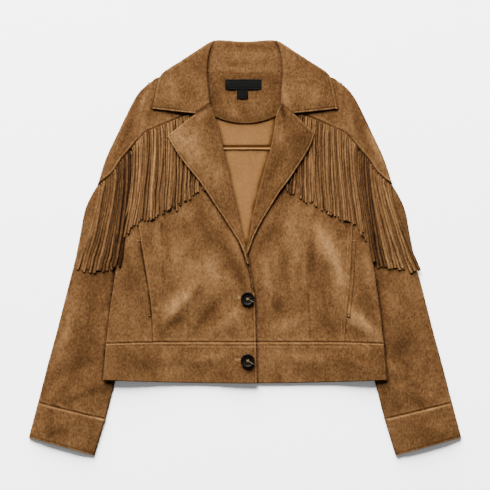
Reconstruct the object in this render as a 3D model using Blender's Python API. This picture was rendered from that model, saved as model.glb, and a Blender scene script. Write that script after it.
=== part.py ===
"""A cropped faux-suede jacket with fringed yokes, laid flat and buttoned, front side up.

The jacket lies on the floor at z = 0. +X is to the right of the photograph, +Y towards the collar and
+Z up. Left and right are the photograph's. Sizes are in millimetres until a mesh is made.

Each piece of cloth is a wall of even thickness over a grid between four edges. The pieces are laid in
the order in which the jacket is put down, each on the pile of what already lies there.
"""

import math
import random

import bmesh
import bpy
import numpy as np

MM = 0.001

# Cloth and making
CLOTH = 1.6
DOUBLED = 2.2
TRIM = 1.3
SEAM_GAP = 0.3
AIR = 0.45
FLOOR_CLEAR = 0.35

# Driving sizes of the jacket laid flat
SHOULDER = (-147.0, 267.5)
YOKE_CORNER = (-172.0, 171.0)
NECK_POINT = (-67.0, 296.0)
YOKE_NECK = (-56.5, 230.0)
BREAK_Y = -26.0
BAND_SEAM_Y = -152.0
HEM_CORNER = (-227.0, -213.0)
HEM_MIDDLE_Y = -218.5
NECK_SEAM_Y = 277.0
COLLAR_TOP_Y = 328.0
FACING_DEPTH = 79.5
BACK_SEAM_Y = 162.0
UNDERLAP = -16.0
STRIP_DEEP = 6.0
FRONT_STRANDS = 29
SLEEVE_STRANDS = 15
STRAND_SHARE = 0.76
STRAND_STATIONS = 5
BUTTON_RADIUS = 11.2
BUTTON_HEIGHT = 3.6

# The side of the body: the armhole crease, then the side fold, from the yoke down to the hem
CREASE = (
    # x, y
    YOKE_CORNER,
    (-184.0, 145.0),
    (-191.5, 121.0),
    (-196.0, 92.0),
    (-200.5, 55.0),
    (-203.0, 15.0),
    (-204.5, -18.0),
    (-208.5, -50.0),
    (-215.0, -95.0),
    (-222.0, BAND_SEAM_Y - 2.0),
)
ARMHOLE_ROWS = 2

# The seam between yoke and front, which carries the fringe, from the armhole to the neck
YOKE_SEAM = (YOKE_CORNER, (-160.0, 183.5), (-141.0, 192.5), (-122.0, 201.0), (-92.0, 213.5), YOKE_NECK)

# The same seam across the sleeve, from the armhole out to the sleeve's edge
SLEEVE_SEAM = (YOKE_CORNER, (-184.5, 156.0), (-197.5, 141.0), (-212.5, 119.0), (-236.0, 100.0))

# The sleeve's outer edge above and below that seam, as the photograph outlines it
SLEEVE_HEAD_EDGE = (SHOULDER, (-158.5, 259.5), (-169.5, 248.5), (-180.5, 231.5), (-201.5, 188.5), (-223.0, 141.5), SLEEVE_SEAM[-1])

SLEEVE_ROWS = (
    # outer x, outer y, inner x, inner y
    (-247.5, 81.0, -172.0, 118.0),
    (-257.5, 57.0, -178.0, 66.0),
    (-264.5, 20.0, -172.0, 34.0),
    (-272.5, -20.0, -153.0, -12.0),
    (-281.0, -53.0, -157.0, -51.0),
    (-291.0, -92.0, -175.0, -108.0),
    (-303.0, -139.0, -194.0, -168.0),
    (-317.5, -192.0, -209.0, -219.0),
    (-332.0, -249.0, -223.5, -275.5),
)
SLEEVE_TUCK = (-160.0, 176.0)
CUFF_END = (-347.0, -305.0, -241.5, -334.5)

POCKET_SEAMS = {
    # side: points from the armhole down to the band
    "left": ((-186.5, 119.0), (-178.0, 72.0), (-170.5, 30.0), (-163.5, -12.0), (-155.5, -60.0), (-150.0, -105.0), (-147.5, BAND_SEAM_Y)),
    "right": ((186.5, 119.0), (179.0, 72.0), (173.0, 30.0), (170.5, -12.0), (167.5, -60.0), (163.0, -105.0), (160.0, BAND_SEAM_Y)),
}
POCKET_SEAM_PART = 1.0 / 3.0

FRONT_EDGES = {
    # side: the lapel's roll line, then the front edge, down to the band
    "left": (YOKE_NECK, (-48.5, 209.0), (-41.5, 188.0), (-35.0, 160.0), (-24.0, 114.0), (-13.0, 66.0), (-3.2, 19.0), (7.0, -26.0), (13.0, -55.0), (16.0, -88.0), (17.5, BAND_SEAM_Y)),
    "right": ((57.5, 228.0), (50.5, 212.0), (45.5, 180.0), (40.5, 156.0), (27.0, 110.0), (14.0, 56.0), (5.0, 5.0), (-8.0, -30.0), (-14.0, -60.0), (UNDERLAP, -95.0), (UNDERLAP, BAND_SEAM_Y)),
}

LAPELS = {
    # side: notch, point, outer edge from the point to the break
    "left": {"notch": (-78.5, 213.0), "point": (-124.5, 177.0), "edge": ((-102.0, 141.0), (-71.0, 102.0), (-44.0, 61.5), (-24.5, 32.0), (-6.5, 2.0))},
    "right": {"notch": (77.5, 213.5), "point": (112.0, 181.0), "edge": ((101.0, 155.0), (73.5, 112.0), (55.0, 87.0), (39.0, 61.0), (23.5, 35.0), (13.5, 14.0), (7.5, -3.0))},
}

COLLAR_LEAF = {
    "point": (-148.0, 221.0),
    "edge": ((-144.0, 240.0), (-139.0, 264.0), (-134.5, 275.5)),
    "shoulder": (-124.5, 284.8),
    "over": ((-105.0, 297.0), (-73.0, 317.0)),
    "top": (-43.5, 336.0),
    "roll": ((-50.5, 325.0), (-56.0, 306.0), (-60.5, 278.0), (-59.5, 250.0)),
}

# Soft ridges in the cloth, the largest ones. x and y are the middle, heading turns anticlockwise from +Y
FOLDS = (
    # layer, x, y, length, heading, width, height
    ("front", -100.0, -30.0, 320.0, 4.0, 150.0, 1.8),
    ("front", 108.0, -30.0, 320.0, -4.0, 150.0, 1.8),
    ("front", -120.0, -10.0, 150.0, -8.0, 26.0, 1.4),
    ("front", -70.0, -40.0, 130.0, 14.0, 24.0, 1.4),
    ("front", -38.0, -95.0, 90.0, 30.0, 18.0, 1.2),
    ("front", 62.0, -20.0, 150.0, -4.0, 24.0, 1.6),
    ("front", 118.0, 0.0, 170.0, -10.0, 28.0, 1.8),
    ("front", 182.0, -90.0, 90.0, 24.0, 16.0, 1.2),
    ("sleeve", 250.0, -140.0, 130.0, 14.0, 22.0, 1.4),
    ("sleeve", -262.0, -120.0, 150.0, -16.0, 24.0, 1.4),
    ("sleeve", -238.0, -215.0, 60.0, -60.0, 16.0, 1.2),
    ("sleeve", 232.0, -225.0, 60.0, 58.0, 16.0, 1.2),
)
SLEEVE_CROWN = 3.0

# How far the cloth under a rolled edge keeps back from it, and how far that edge comes down beside it
ROLL_COVER = DOUBLED + 1.0
ROLL_DROP = CLOTH + 0.2

# How an edge turns down over what it covers: millimetres outwards, share of the whole drop
SOFT_FOLD = ((1.0, 0.35), (1.4, 1.0))
ROLLED_FOLD = ((1.6, 0.16), (2.8, 0.55), (2.6, 1.0))

SUEDE = ("faux_suede", (0.37, 0.215, 0.095), 0.92, 0.0)
SUEDE_INSIDE = ("suede_inside", (0.43, 0.255, 0.125), 0.95, 0.0)
LABEL_CLOTH = ("label_cloth", (0.02, 0.026, 0.028), 0.6, 0.0)
HORN = ("button_horn", (0.03, 0.035, 0.03), 0.3, 0.0)


def mirrored(points, side):
    """The left side's points, turned over to the right where that side is wanted."""
    flip = -1.0 if side == "right" else 1.0
    return [(flip * x, y) for x, y in points]


def through(points, count):
    """An even run of count + 1 points along a smooth curve through the given ones."""
    knots = np.array(points, float)
    if len(knots) == 2:
        return knots[0] + (knots[1] - knots[0]) * np.linspace(0, 1, count + 1)[:, None]
    ends = np.vstack([2 * knots[0] - knots[1], knots, 2 * knots[-1] - knots[-2]])
    fine = []
    for k in range(len(knots) - 1):
        a, b, c, d = ends[k : k + 4]
        for t in np.linspace(0, 1, 24, endpoint=False):
            fine.append(0.5 * (2 * b + (c - a) * t + (2 * a - 5 * b + 4 * c - d) * t**2 + (3 * b - a - 3 * c + d) * t**3))
    fine = np.array(fine + [knots[-1]])
    run = np.concatenate([[0], np.cumsum(np.linalg.norm(np.diff(fine, axis=0), axis=1))])
    wanted = np.linspace(0, run[-1], count + 1)
    return np.column_stack([np.interp(wanted, run, fine[:, axis]) for axis in (0, 1)])


def joined(*runs):
    """Runs of points end to end, each one's first point being the last one's end."""
    return np.vstack([runs[0]] + [run[1:] for run in runs[1:]])


def shifted(run, distance):
    """A run moved sideways, to the left of its direction where the distance is positive."""
    along = np.gradient(run, axis=0)
    along /= np.linalg.norm(along, axis=1)[:, None]
    return run + np.reshape(distance, (-1, 1)) * np.column_stack([-along[:, 1], along[:, 0]])


def corner_inside(corner, one, two):
    """Where two edges that meet at a corner meet again, once each is moved sideways."""
    return corner + np.linalg.solve([one, two], [one @ one, two @ two])


def patch(left, right, top, bottom):
    """A grid of points between four edges: rows run down the left and right edges, columns along the others."""
    v = np.linspace(0, 1, len(left))[:, None, None]
    u = np.linspace(0, 1, len(top))[None, :, None]
    corners = (
        (1 - u) * (1 - v) * left[0] + u * (1 - v) * right[0] + (1 - u) * v * left[-1] + u * v * right[-1]
    )
    return (1 - u) * left[:, None] + u * right[:, None] + (1 - v) * top[None] + v * bottom[None] - corners


def grid_triangles(rows, columns):
    """The two triangles of every cell of a grid whose columns run anticlockwise from its rows."""
    index = np.arange(rows * columns).reshape(rows, columns)
    a, b, c, d = (part.ravel() for part in (index[:-1, :-1], index[1:, :-1], index[1:, 1:], index[:-1, 1:]))
    return np.concatenate([np.column_stack([a, b, c]), np.column_stack([a, c, d])])


class Pile:
    """The height of everything laid so far, read on a fine raster over the floor."""

    def __init__(self, reach=380.0, step=1.5):
        self.step = step
        self.axis = np.arange(-reach, reach, step)
        self.top = np.zeros((len(self.axis), len(self.axis)))

    def cells(self, points, triangles):
        """For every raster point inside a triangle: its row, its column, the triangle and the corner weights."""
        found = []
        start = self.axis[0]
        for number, corners in enumerate(points[triangles][:, :, :2]):
            low = np.ceil((corners.min(0) - start) / self.step).astype(int)
            high = np.floor((corners.max(0) - start) / self.step).astype(int)
            if (high < low).any():
                continue
            columns, rows = np.meshgrid(np.arange(low[0], high[0] + 1), np.arange(low[1], high[1] + 1))
            at = np.column_stack([self.axis[columns.ravel()], self.axis[rows.ravel()]]) - corners[0]
            one, two = corners[1] - corners[0], corners[2] - corners[0]
            area = one[0] * two[1] - one[1] * two[0]
            if abs(area) < 1e-6:
                continue
            s = (at[:, 0] * two[1] - at[:, 1] * two[0]) / area
            t = (one[0] * at[:, 1] - one[1] * at[:, 0]) / area
            inside = (s > -1e-6) & (t > -1e-6) & (s + t < 1 + 1e-6)
            if inside.any():
                weights = np.column_stack([1 - s - t, s, t])[inside]
                owner = np.full(len(weights), number)
                found.append((rows.ravel()[inside], columns.ravel()[inside], owner, weights))
        if not found:
            return np.zeros(0, int), np.zeros(0, int), np.zeros(0, int), np.zeros((0, 3))
        return tuple(np.concatenate(parts) for parts in zip(*found))

    def add(self, points, triangles):
        rows, columns, owner, weights = self.cells(points, triangles)
        height = (weights * points[triangles[owner], 2]).sum(axis=1)
        np.maximum.at(self.top, (rows, columns), height)

    def spread(self, reach=1):
        """The pile's height, each raster point taking the highest of those around it."""
        wide = self.top.copy()
        for down in range(-reach, reach + 1):
            for across in range(-reach, reach + 1):
                wide = np.maximum(wide, np.roll(self.top, (down, across), axis=(0, 1)))
        return wide

    def highest(self, x, y, reach):
        """The highest point of the pile within a distance of each of some places."""
        cells = max(1, math.ceil(reach / self.step))
        column = np.rint((np.asarray(x) - self.axis[0]) / self.step).astype(int)
        row = np.rint((np.asarray(y) - self.axis[0]) / self.step).astype(int)
        best = np.zeros(np.shape(column))
        for down in range(-cells, cells + 1):
            for across in range(-cells, cells + 1):
                best = np.maximum(best, self.top[row + down, column + across])
        return best


def fold_height(layer, x, y):
    """How far the folds of a layer lift the cloth at some places."""
    lift = np.zeros_like(x)
    for name, middle_x, middle_y, length, heading, width, height in FOLDS:
        if name != layer:
            continue
        turn = math.radians(heading)
        along = -(x - middle_x) * math.sin(turn) + (y - middle_y) * math.cos(turn)
        across = (x - middle_x) * math.cos(turn) + (y - middle_y) * math.sin(turn)
        lift += height * np.exp(-((across / width * 2) ** 2) - (along / length * 2) ** 4)
    return lift


def edge_of(grid, side):
    return {"left": grid[:, 0], "right": grid[:, -1], "top": grid[0], "bottom": grid[-1]}[side]


def carried_on(grid, side, end, outwards):
    """The way out at the end of an edge, which carries on the edge that it meets there."""
    line = edge_of(grid, ("top", "bottom")[end] if side in ("left", "right") else ("left", "right")[end])
    last, before = (0, 1) if side in ("left", "top") else (-1, -2)
    way = line[last, :2] - line[before, :2]
    slant = way @ outwards / np.linalg.norm(way)
    return way / np.linalg.norm(way) / max(slant, 0.4)


def with_rows(grid, side, added):
    """A grid with more rows or columns outside one of its sides, the nearest one first."""
    if side == "left":
        return np.concatenate([np.stack(added[::-1], axis=1), grid], axis=1)
    if side == "right":
        return np.concatenate([grid, np.stack(added, axis=1)], axis=1)
    if side == "top":
        return np.concatenate([np.stack(added[::-1]), grid])
    return np.concatenate([grid, np.stack(added)])


class Layer:
    """Pieces of cloth that share their seams and are laid on the pile together."""

    def __init__(self, pile, folds=None, rounds=14, sag=0.06):
        self.pile, self.folds, self.rounds, self.sag = pile, folds, rounds, sag
        self.pieces = []

    def piece(self, name, grid, cloth, finish, crown=0.0, turned=()):
        """Adds a piece. turned gives, for a side whose edge folds down, its profile and its drop, or None to the floor."""
        self.pieces.append(
            {"name": name, "grid": grid, "cloth": cloth, "finish": finish, "crown": crown, "turned": dict(turned)}
        )

    def lay(self):
        """Rests the pieces on the pile, folds their edges down, and makes a solid of each."""
        shared, index = self.weld([piece["grid"] for piece in self.pieces])
        triangles = np.concatenate([
            ids.ravel()[grid_triangles(*ids.shape)] for ids in index
        ])
        height = self.rest(shared, triangles)
        crown = np.zeros(len(shared))
        for piece, ids in zip(self.pieces, index):
            rows, columns = ids.shape
            across = np.sqrt(np.clip(np.sin(math.pi * np.linspace(0, 1, columns)), 0, 1))
            crown[ids] = np.maximum(crown[ids], piece["crown"] * across)
        height += crown
        if self.folds:
            height += fold_height(self.folds, shared[:, 0], shared[:, 1])
        for piece, ids in zip(self.pieces, index):
            piece["inner"] = np.dstack([piece["grid"], height[ids]])
        self.turn_down()
        self.close()

    def weld(self, grids):
        """One list of the points of all grids, and where each grid's points are in it."""
        every = np.vstack([grid.reshape(-1, 2) for grid in grids])
        _, first, index = np.unique(np.round(every, 2), axis=0, return_index=True, return_inverse=True)
        index, at, split = index.reshape(-1), 0, []
        for grid in grids:
            count = grid.shape[0] * grid.shape[1]
            split.append(index[at : at + count].reshape(grid.shape[:2]))
            at += count
        return every[first], split

    def rest(self, points, triangles):
        """The height of each point, such that the cloth is smooth and clears the pile everywhere."""
        rows, columns, owner, weights = self.pile.cells(points, triangles)
        below = self.pile.spread()
        need = below[rows, columns]
        if need.max() == 0:
            return np.zeros(len(points))
        need[need > 0] += AIR
        corners = triangles[owner]
        least = self.pile.highest(points[:, 0], points[:, 1], 0.5 * self.pile.step)
        least[least > 0] += AIR
        height = least
        ends = np.concatenate([triangles[:, [0, 1]], triangles[:, [1, 2]], triangles[:, [2, 0]]])
        count = np.bincount(ends.ravel(), minlength=len(points))
        for step in range(self.rounds + 8):
            if step < self.rounds:
                total = np.bincount(ends[:, 0], weights=height[ends[:, 1]], minlength=len(points))
                total += np.bincount(ends[:, 1], weights=height[ends[:, 0]], minlength=len(points))
                height = 0.5 * height + 0.5 * total / count - self.sag
            short = need - (weights * height[corners]).sum(axis=1)
            lift = np.zeros(len(points))
            np.maximum.at(lift, corners.ravel(), np.repeat(short, 3))
            height = np.maximum(height + lift, least)
        return height

    def turn_down(self):
        """Adds the rows or columns that fold an edge down. Pieces that share an edge's end turn it the same way."""
        for side in ("top", "bottom", "left", "right"):
            edges = [(piece, edge_of(piece["inner"], side)) for piece in self.pieces if side in piece["turned"]]
            facing = {}
            for _, edge in edges:
                outwards = shifted(edge[:, :2], 1.0 if side in ("right", "top") else -1.0) - edge[:, :2]
                for point, way in zip(edge, outwards):
                    key = tuple(np.round(point, 2))
                    facing[key] = facing.get(key, 0.0) + way
            for piece, edge in edges:
                outwards = np.array([facing[tuple(np.round(point, 2))] for point in edge])
                outwards /= np.linalg.norm(outwards, axis=1)[:, None]
                for end in (0, -1):
                    outwards[end] = carried_on(piece["inner"], side, end, outwards[end])
                profile, drop = piece["turned"][side]
                depth = edge[:, 2] - FLOOR_CLEAR
                if drop is not None:
                    depth = np.minimum(depth, drop)
                added = [
                    np.column_stack([edge[:, :2] + out * outwards, edge[:, 2] - share * depth])
                    for out, share in profile
                ]
                piece["inner"] = with_rows(piece["inner"], side, added)

    def close(self):
        """Gives the cloth its thickness along shared normals, parts it at the seams, and adds it to the pile."""
        every = np.vstack([piece["inner"].reshape(-1, 3) for piece in self.pieces])
        _, index = np.unique(np.round(every, 2), axis=0, return_inverse=True)
        index = index.reshape(-1)
        normals, at, spans = np.zeros((index.max() + 1, 3)), 0, []
        for piece in self.pieces:
            rows, columns = piece["inner"].shape[:2]
            ids = index[at : at + rows * columns]
            flat = piece["inner"].reshape(-1, 3)
            faces = grid_triangles(rows, columns)
            facing = np.cross(flat[faces[:, 1]] - flat[faces[:, 0]], flat[faces[:, 2]] - flat[faces[:, 0]])
            for corner in range(3):
                np.add.at(normals, ids[faces[:, corner]], facing)
            spans.append(ids)
            at += rows * columns
        normals /= np.maximum(np.linalg.norm(normals, axis=1), 1e-9)[:, None]
        solids = []
        for piece, ids in zip(self.pieces, spans):
            normal = normals[ids].reshape(piece["inner"].shape)
            outer = piece["inner"] + piece["cloth"] * normal
            outer[..., 2] = np.maximum(outer[..., 2], 0.2)
            inner, outer = parted(piece["inner"]), parted(outer)
            solids.append(slab(piece["name"], inner, outer, piece["finish"]))
        for points, triangles in solids:
            self.pile.add(points, triangles)


def parted(face):
    """A face of the wall drawn in by half the seam gap all round."""
    rows, columns = face.shape[:2]
    ring = (
        [(0, c) for c in range(columns - 1)]
        + [(r, columns - 1) for r in range(rows - 1)]
        + [(rows - 1, c) for c in range(columns - 1, 0, -1)]
        + [(r, 0) for r in range(rows - 1, 0, -1)]
    )
    loop = np.array([face[place] for place in ring])
    along = np.roll(loop, -1, axis=0) - loop
    along /= np.maximum(np.linalg.norm(along, axis=1), 1e-9)[:, None]
    before = np.roll(along, 1, axis=0)
    across = np.zeros_like(face)
    moved = face.copy()
    for place, ahead, behind in zip(ring, along, before):
        r, c = place
        inward = face[min(max(r, 1), rows - 2), min(max(c, 1), columns - 2)] - face[place]
        pull = np.zeros(3)
        for way in (ahead, behind):
            side = inward - (inward @ way) * way
            pull += side / max(np.linalg.norm(side), 1e-9)
        across[place] = pull / max(1.0, np.linalg.norm(pull) ** 2 / 2)
        moved[place] = face[place] + 0.5 * SEAM_GAP * across[place]
    return moved


def material(finish):
    name, colour, roughness, metallic = finish
    made = bpy.data.materials.get(name)
    if made is None:
        made = bpy.data.materials.new(name)
        made.use_nodes = True
        shader = made.node_tree.nodes["Principled BSDF"]
        shader.inputs["Base Color"].default_value = (*colour, 1.0)
        shader.inputs["Roughness"].default_value = roughness
        shader.inputs["Metallic"].default_value = metallic
        made.diffuse_color = (*colour, 1.0)
    return made


def add_object(name, points, faces, finish):
    """An object from points in millimetres and its faces."""
    mesh = bpy.data.meshes.new(name)
    mesh.from_pydata([tuple(point) for point in np.asarray(points) * MM], [], [tuple(face) for face in faces])
    shell = bmesh.new()
    shell.from_mesh(mesh)
    bmesh.ops.recalc_face_normals(shell, faces=shell.faces)
    shell.to_mesh(mesh)
    shell.free()
    mesh.materials.append(material(finish))
    made = bpy.data.objects.new(name, mesh)
    bpy.context.scene.collection.objects.link(made)
    return made


def slab(name, inner, outer, finish):
    """A closed wall between two grids of the same shape. Returns its points and triangles too."""
    rows, columns = inner.shape[:2]
    count = rows * columns
    points = np.vstack([inner.reshape(-1, 3), outer.reshape(-1, 3)])
    upper = grid_triangles(rows, columns)
    index = np.arange(count).reshape(rows, columns)
    ring = np.concatenate([index[0, :-1], index[:-1, -1], index[-1, :0:-1], index[:0:-1, 0]])
    after = np.roll(ring, -1)
    faces = np.concatenate([
        upper[:, ::-1],
        upper + count,
        np.column_stack([after, ring, ring + count]),
        np.column_stack([after, ring + count, after + count]),
    ])
    add_object(name, points, faces, finish)
    return points, faces


def body_side(side):
    """The crease of one side from the yoke to the band, with its even stations."""
    armhole = through(mirrored(CREASE[: ARMHOLE_ROWS + 1], side), 3)
    below = through(mirrored(CREASE[ARMHOLE_ROWS:], side), 15)
    return armhole, below


def hem_curve(start_x, end_x, count):
    """The hem between two places, which dips a little towards the middle."""
    x = np.linspace(start_x, end_x, count + 1)
    dip = 1 - (x / HEM_CORNER[0]) ** 2
    return np.column_stack([x, HEM_CORNER[1] + (HEM_MIDDLE_Y - HEM_CORNER[1]) * dip])


def facing_out(grid, side):
    """Grids are drawn for the left side; the right side's columns are turned so that they still face up."""
    return grid[:, ::-1] if side == "right" else grid


def other(side):
    return "right" if side == "left" else "left"


def sleeve_under(pile, side):
    """The under sleeve and under cuff, flat on the floor and just inside the top sleeve's folds."""
    inset = CLOTH + SOFT_FOLD[-1][0] + AIR
    outer = [SHOULDER, *SLEEVE_HEAD_EDGE[1:]] + [row[:2] for row in SLEEVE_ROWS]
    inner = [(-141.0, 258.0), (-150.0, 215.0), SLEEVE_TUCK] + [row[2:] for row in SLEEVE_ROWS]
    left = shifted(through(mirrored(outer, side), 18), inset if side == "left" else -inset)
    right = shifted(through(mirrored(inner, side), 18), -inset if side == "left" else inset)
    cuff_left = shifted(through(mirrored([SLEEVE_ROWS[-1][:2], CUFF_END[:2]], side), 2), inset if side == "left" else -inset)
    cuff_right = shifted(through(mirrored([SLEEVE_ROWS[-1][2:], CUFF_END[2:]], side), 2), -inset if side == "left" else inset)
    left[-1], right[-1] = cuff_left[0], cuff_right[0]
    seam = through([left[-1], right[-1]], 4)
    layer = Layer(pile)
    sleeve = patch(left, right, through([left[0], right[0]], 4), seam)
    cuff = patch(cuff_left, cuff_right, seam, through([cuff_left[-1], cuff_right[-1]], 4))
    layer.piece(f"sleeve_under_{side}", facing_out(sleeve, side), CLOTH, SUEDE)
    layer.piece(f"cuff_under_{side}", facing_out(cuff, side), DOUBLED, SUEDE)
    layer.lay()


def sleeve_top(pile, side):
    """The top sleeve below the fringe and its cuff, folded down along both edges."""
    inset = CLOTH + SOFT_FOLD[-1][0]
    sign = 1 if side == "left" else -1
    outer = [(SLEEVE_SEAM[-1][0] - 0.6, SLEEVE_SEAM[-1][1] - 1.2)] + [row[:2] for row in SLEEVE_ROWS]
    inner = [SLEEVE_TUCK] + [row[2:] for row in SLEEVE_ROWS]
    left = shifted(through(mirrored(outer, side), 17), sign * inset)
    right = shifted(through(mirrored(inner, side), 17), -sign * inset)
    cuff_left = shifted(through(mirrored([SLEEVE_ROWS[-1][:2], CUFF_END[:2]], side), 3), sign * inset)
    cuff_right = shifted(through(mirrored([SLEEVE_ROWS[-1][2:], CUFF_END[2:]], side), 3), -sign * inset)
    left[-1], right[-1] = cuff_left[0], cuff_right[0]
    seam = through([left[-1], right[-1]], 6)
    top = through([left[0], *mirrored(SLEEVE_SEAM[-2::-1], side), right[0]], 6)
    turned = {"left": (SOFT_FOLD, None), "right": (SOFT_FOLD, None)}
    layer = Layer(pile, folds="sleeve")
    sleeve = patch(left, right, top, seam)
    cuff = patch(cuff_left, cuff_right, seam, through([cuff_left[-1], cuff_right[-1]], 6))
    for name, grid, cloth in (("sleeve_top", sleeve, CLOTH), ("cuff_top", cuff, DOUBLED)):
        layer.piece(
            f"{name}_{side}", facing_out(grid, side), cloth, SUEDE, crown=SLEEVE_CROWN, turned=turned
        )
    layer.lay()


def back(pile):
    """Back yoke, back panel and back band, one layer over the sleeves' inner edges."""
    inset = CLOTH + SOFT_FOLD[-1][0] + AIR
    across = 12
    sides = {}
    for side, sign in (("left", 1), ("right", -1)):
        crease = through(mirrored(CREASE, side), 15)
        sides[side] = shifted(crease, sign * inset)
    cut = 1
    seam = through([sides["left"][cut], sides["right"][cut]], across)
    seam[:, 1] = BACK_SEAM_Y - 2.0
    sides["left"][cut], sides["right"][cut] = seam[0], seam[-1]
    shoulders = {side: shifted(through(mirrored([SHOULDER, YOKE_CORNER], side), 5), sign * 6.0) for side, sign in (("left", 1), ("right", -1))}
    yoke_side = {side: joined(shoulders[side][:-1], seam[[0 if side == "left" else -1]]) for side in sides}
    top = joined(
        through([yoke_side["left"][0], (-104.0, 278.0), (-66.0, 286.0)], 4),
        through([(-66.0, 286.0), (-34.0, 279.0), (0.0, NECK_SEAM_Y - 1.0), (34.0, 279.0), (66.0, 286.0)], 4),
        through([(66.0, 286.0), (104.0, 278.0), yoke_side["right"][0]], 4),
    )
    band_top = through([sides["left"][-1], (0.0, BAND_SEAM_Y + 1.0), sides["right"][-1]], across)
    hem = hem_curve(HEM_CORNER[0] + inset, -HEM_CORNER[0] - inset, across)
    layer = Layer(pile, sag=0.6)
    layer.piece("back_yoke", patch(yoke_side["left"], yoke_side["right"], top, seam), CLOTH, SUEDE_INSIDE)
    layer.piece("back_panel", patch(sides["left"][cut:], sides["right"][cut:], seam, band_top), CLOTH, SUEDE_INSIDE)
    band_sides = [through([band_top[end], hem[end]], 3) for end in (0, -1)]
    layer.piece("back_band", patch(band_sides[0], band_sides[1], band_top, hem), DOUBLED, SUEDE)
    layer.lay()


def back_seam_allowance(pile):
    """The folded allowance that stands inside the back, just below the back yoke's seam."""
    layer = Layer(pile)
    wide, deep = 62.0, 5.5
    top = through([(-wide, BACK_SEAM_Y - 1.5), (wide, BACK_SEAM_Y - 1.5)], 8)
    bottom = top - (0.0, deep)
    layer.piece("back_seam_allowance", patch(through([top[0], bottom[0]], 1), through([top[-1], bottom[-1]], 1), top, bottom), TRIM, SUEDE_INSIDE)
    layer.lay()


def collar_fall(pile):
    """The collar's back leaf, folded down behind the neck, flat on the floor."""
    inset = DOUBLED + ROLLED_FOLD[-1][0] + 4.0
    half = [COLLAR_LEAF["shoulder"], *COLLAR_LEAF["over"], COLLAR_LEAF["top"]]
    outline = half + [(0.0, COLLAR_TOP_Y)] + mirrored(half[::-1], "right")
    top = shifted(through(outline, 16), -inset)
    bottom = through([(top[0][0] - 1.0, top[0][1] - 9.0), (-96.0, 262.0), (-50.0, 251.0), (0.0, 248.0), (50.0, 251.0), (96.0, 262.0), (top[-1][0] + 1.0, top[-1][1] - 9.0)], 16)
    layer = Layer(pile)
    layer.piece("collar_fall", patch(through([top[0], bottom[0]], 3), through([top[-1], bottom[-1]], 3), top, bottom), DOUBLED, SUEDE)
    layer.lay()


def neck(pile):
    """The neck facing and, above the neck seam, the inside of the collar's stand."""
    wide = -COLLAR_LEAF["roll"][2][0] - 0.7
    seam_half = [(-wide, NECK_SEAM_Y + 3.5), (-32.0, NECK_SEAM_Y + 0.8)]
    seam = through(seam_half + [(0.0, NECK_SEAM_Y)] + mirrored(seam_half[::-1], "right"), 10)
    lower_y = NECK_SEAM_Y - FACING_DEPTH
    lower_half = [(-wide - 1.5, lower_y + 20.0), (-36.0, lower_y + 6.0)]
    lower = through(lower_half + [(0.0, lower_y)] + mirrored(lower_half[::-1], "right"), 10)
    edge = CLOTH + ROLLED_FOLD[-1][0]
    corner = np.array([-47.4, COLLAR_TOP_Y + 4.2 - edge])
    top_half = [tuple(corner), (-26.0, COLLAR_TOP_Y + 1.2 - edge)]
    top = through(top_half + [(0.0, COLLAR_TOP_Y - edge)] + mirrored(top_half[::-1], "right"), 10)
    sides = {
        side: through(mirrored([tuple(corner), (-55.0, 306.0), tuple(seam[0])], side), 3) for side in ("left", "right")
    }
    layer = Layer(pile)
    facing = patch(through([seam[0], lower[0]], 4), through([seam[-1], lower[-1]], 4), seam, lower)
    layer.piece("neck_facing", facing, CLOTH, SUEDE)
    stand = patch(sides["left"], sides["right"], top, seam)
    layer.piece("collar_stand", stand, CLOTH, SUEDE, turned={"top": (ROLLED_FOLD, None)})
    layer.lay()


def labels(pile):
    """The blank woven label in the neck and the small blank size label below it."""
    layer = Layer(pile)
    for name, low_x, high_x, low_y, high_y in (
        ("neck_label", -31.5, 26.5, 251.5, 268.5),
        ("size_label", -13.0, 5.0, 237.0, 251.2),
    ):
        top = through([(low_x, high_y), (high_x, high_y)], 4)
        bottom = through([(low_x, low_y), (high_x, low_y)], 4)
        layer.piece(name, patch(through([top[0], bottom[0]], 2), through([top[-1], bottom[-1]], 2), top, bottom), 1.0, LABEL_CLOTH)
    layer.lay()


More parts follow.
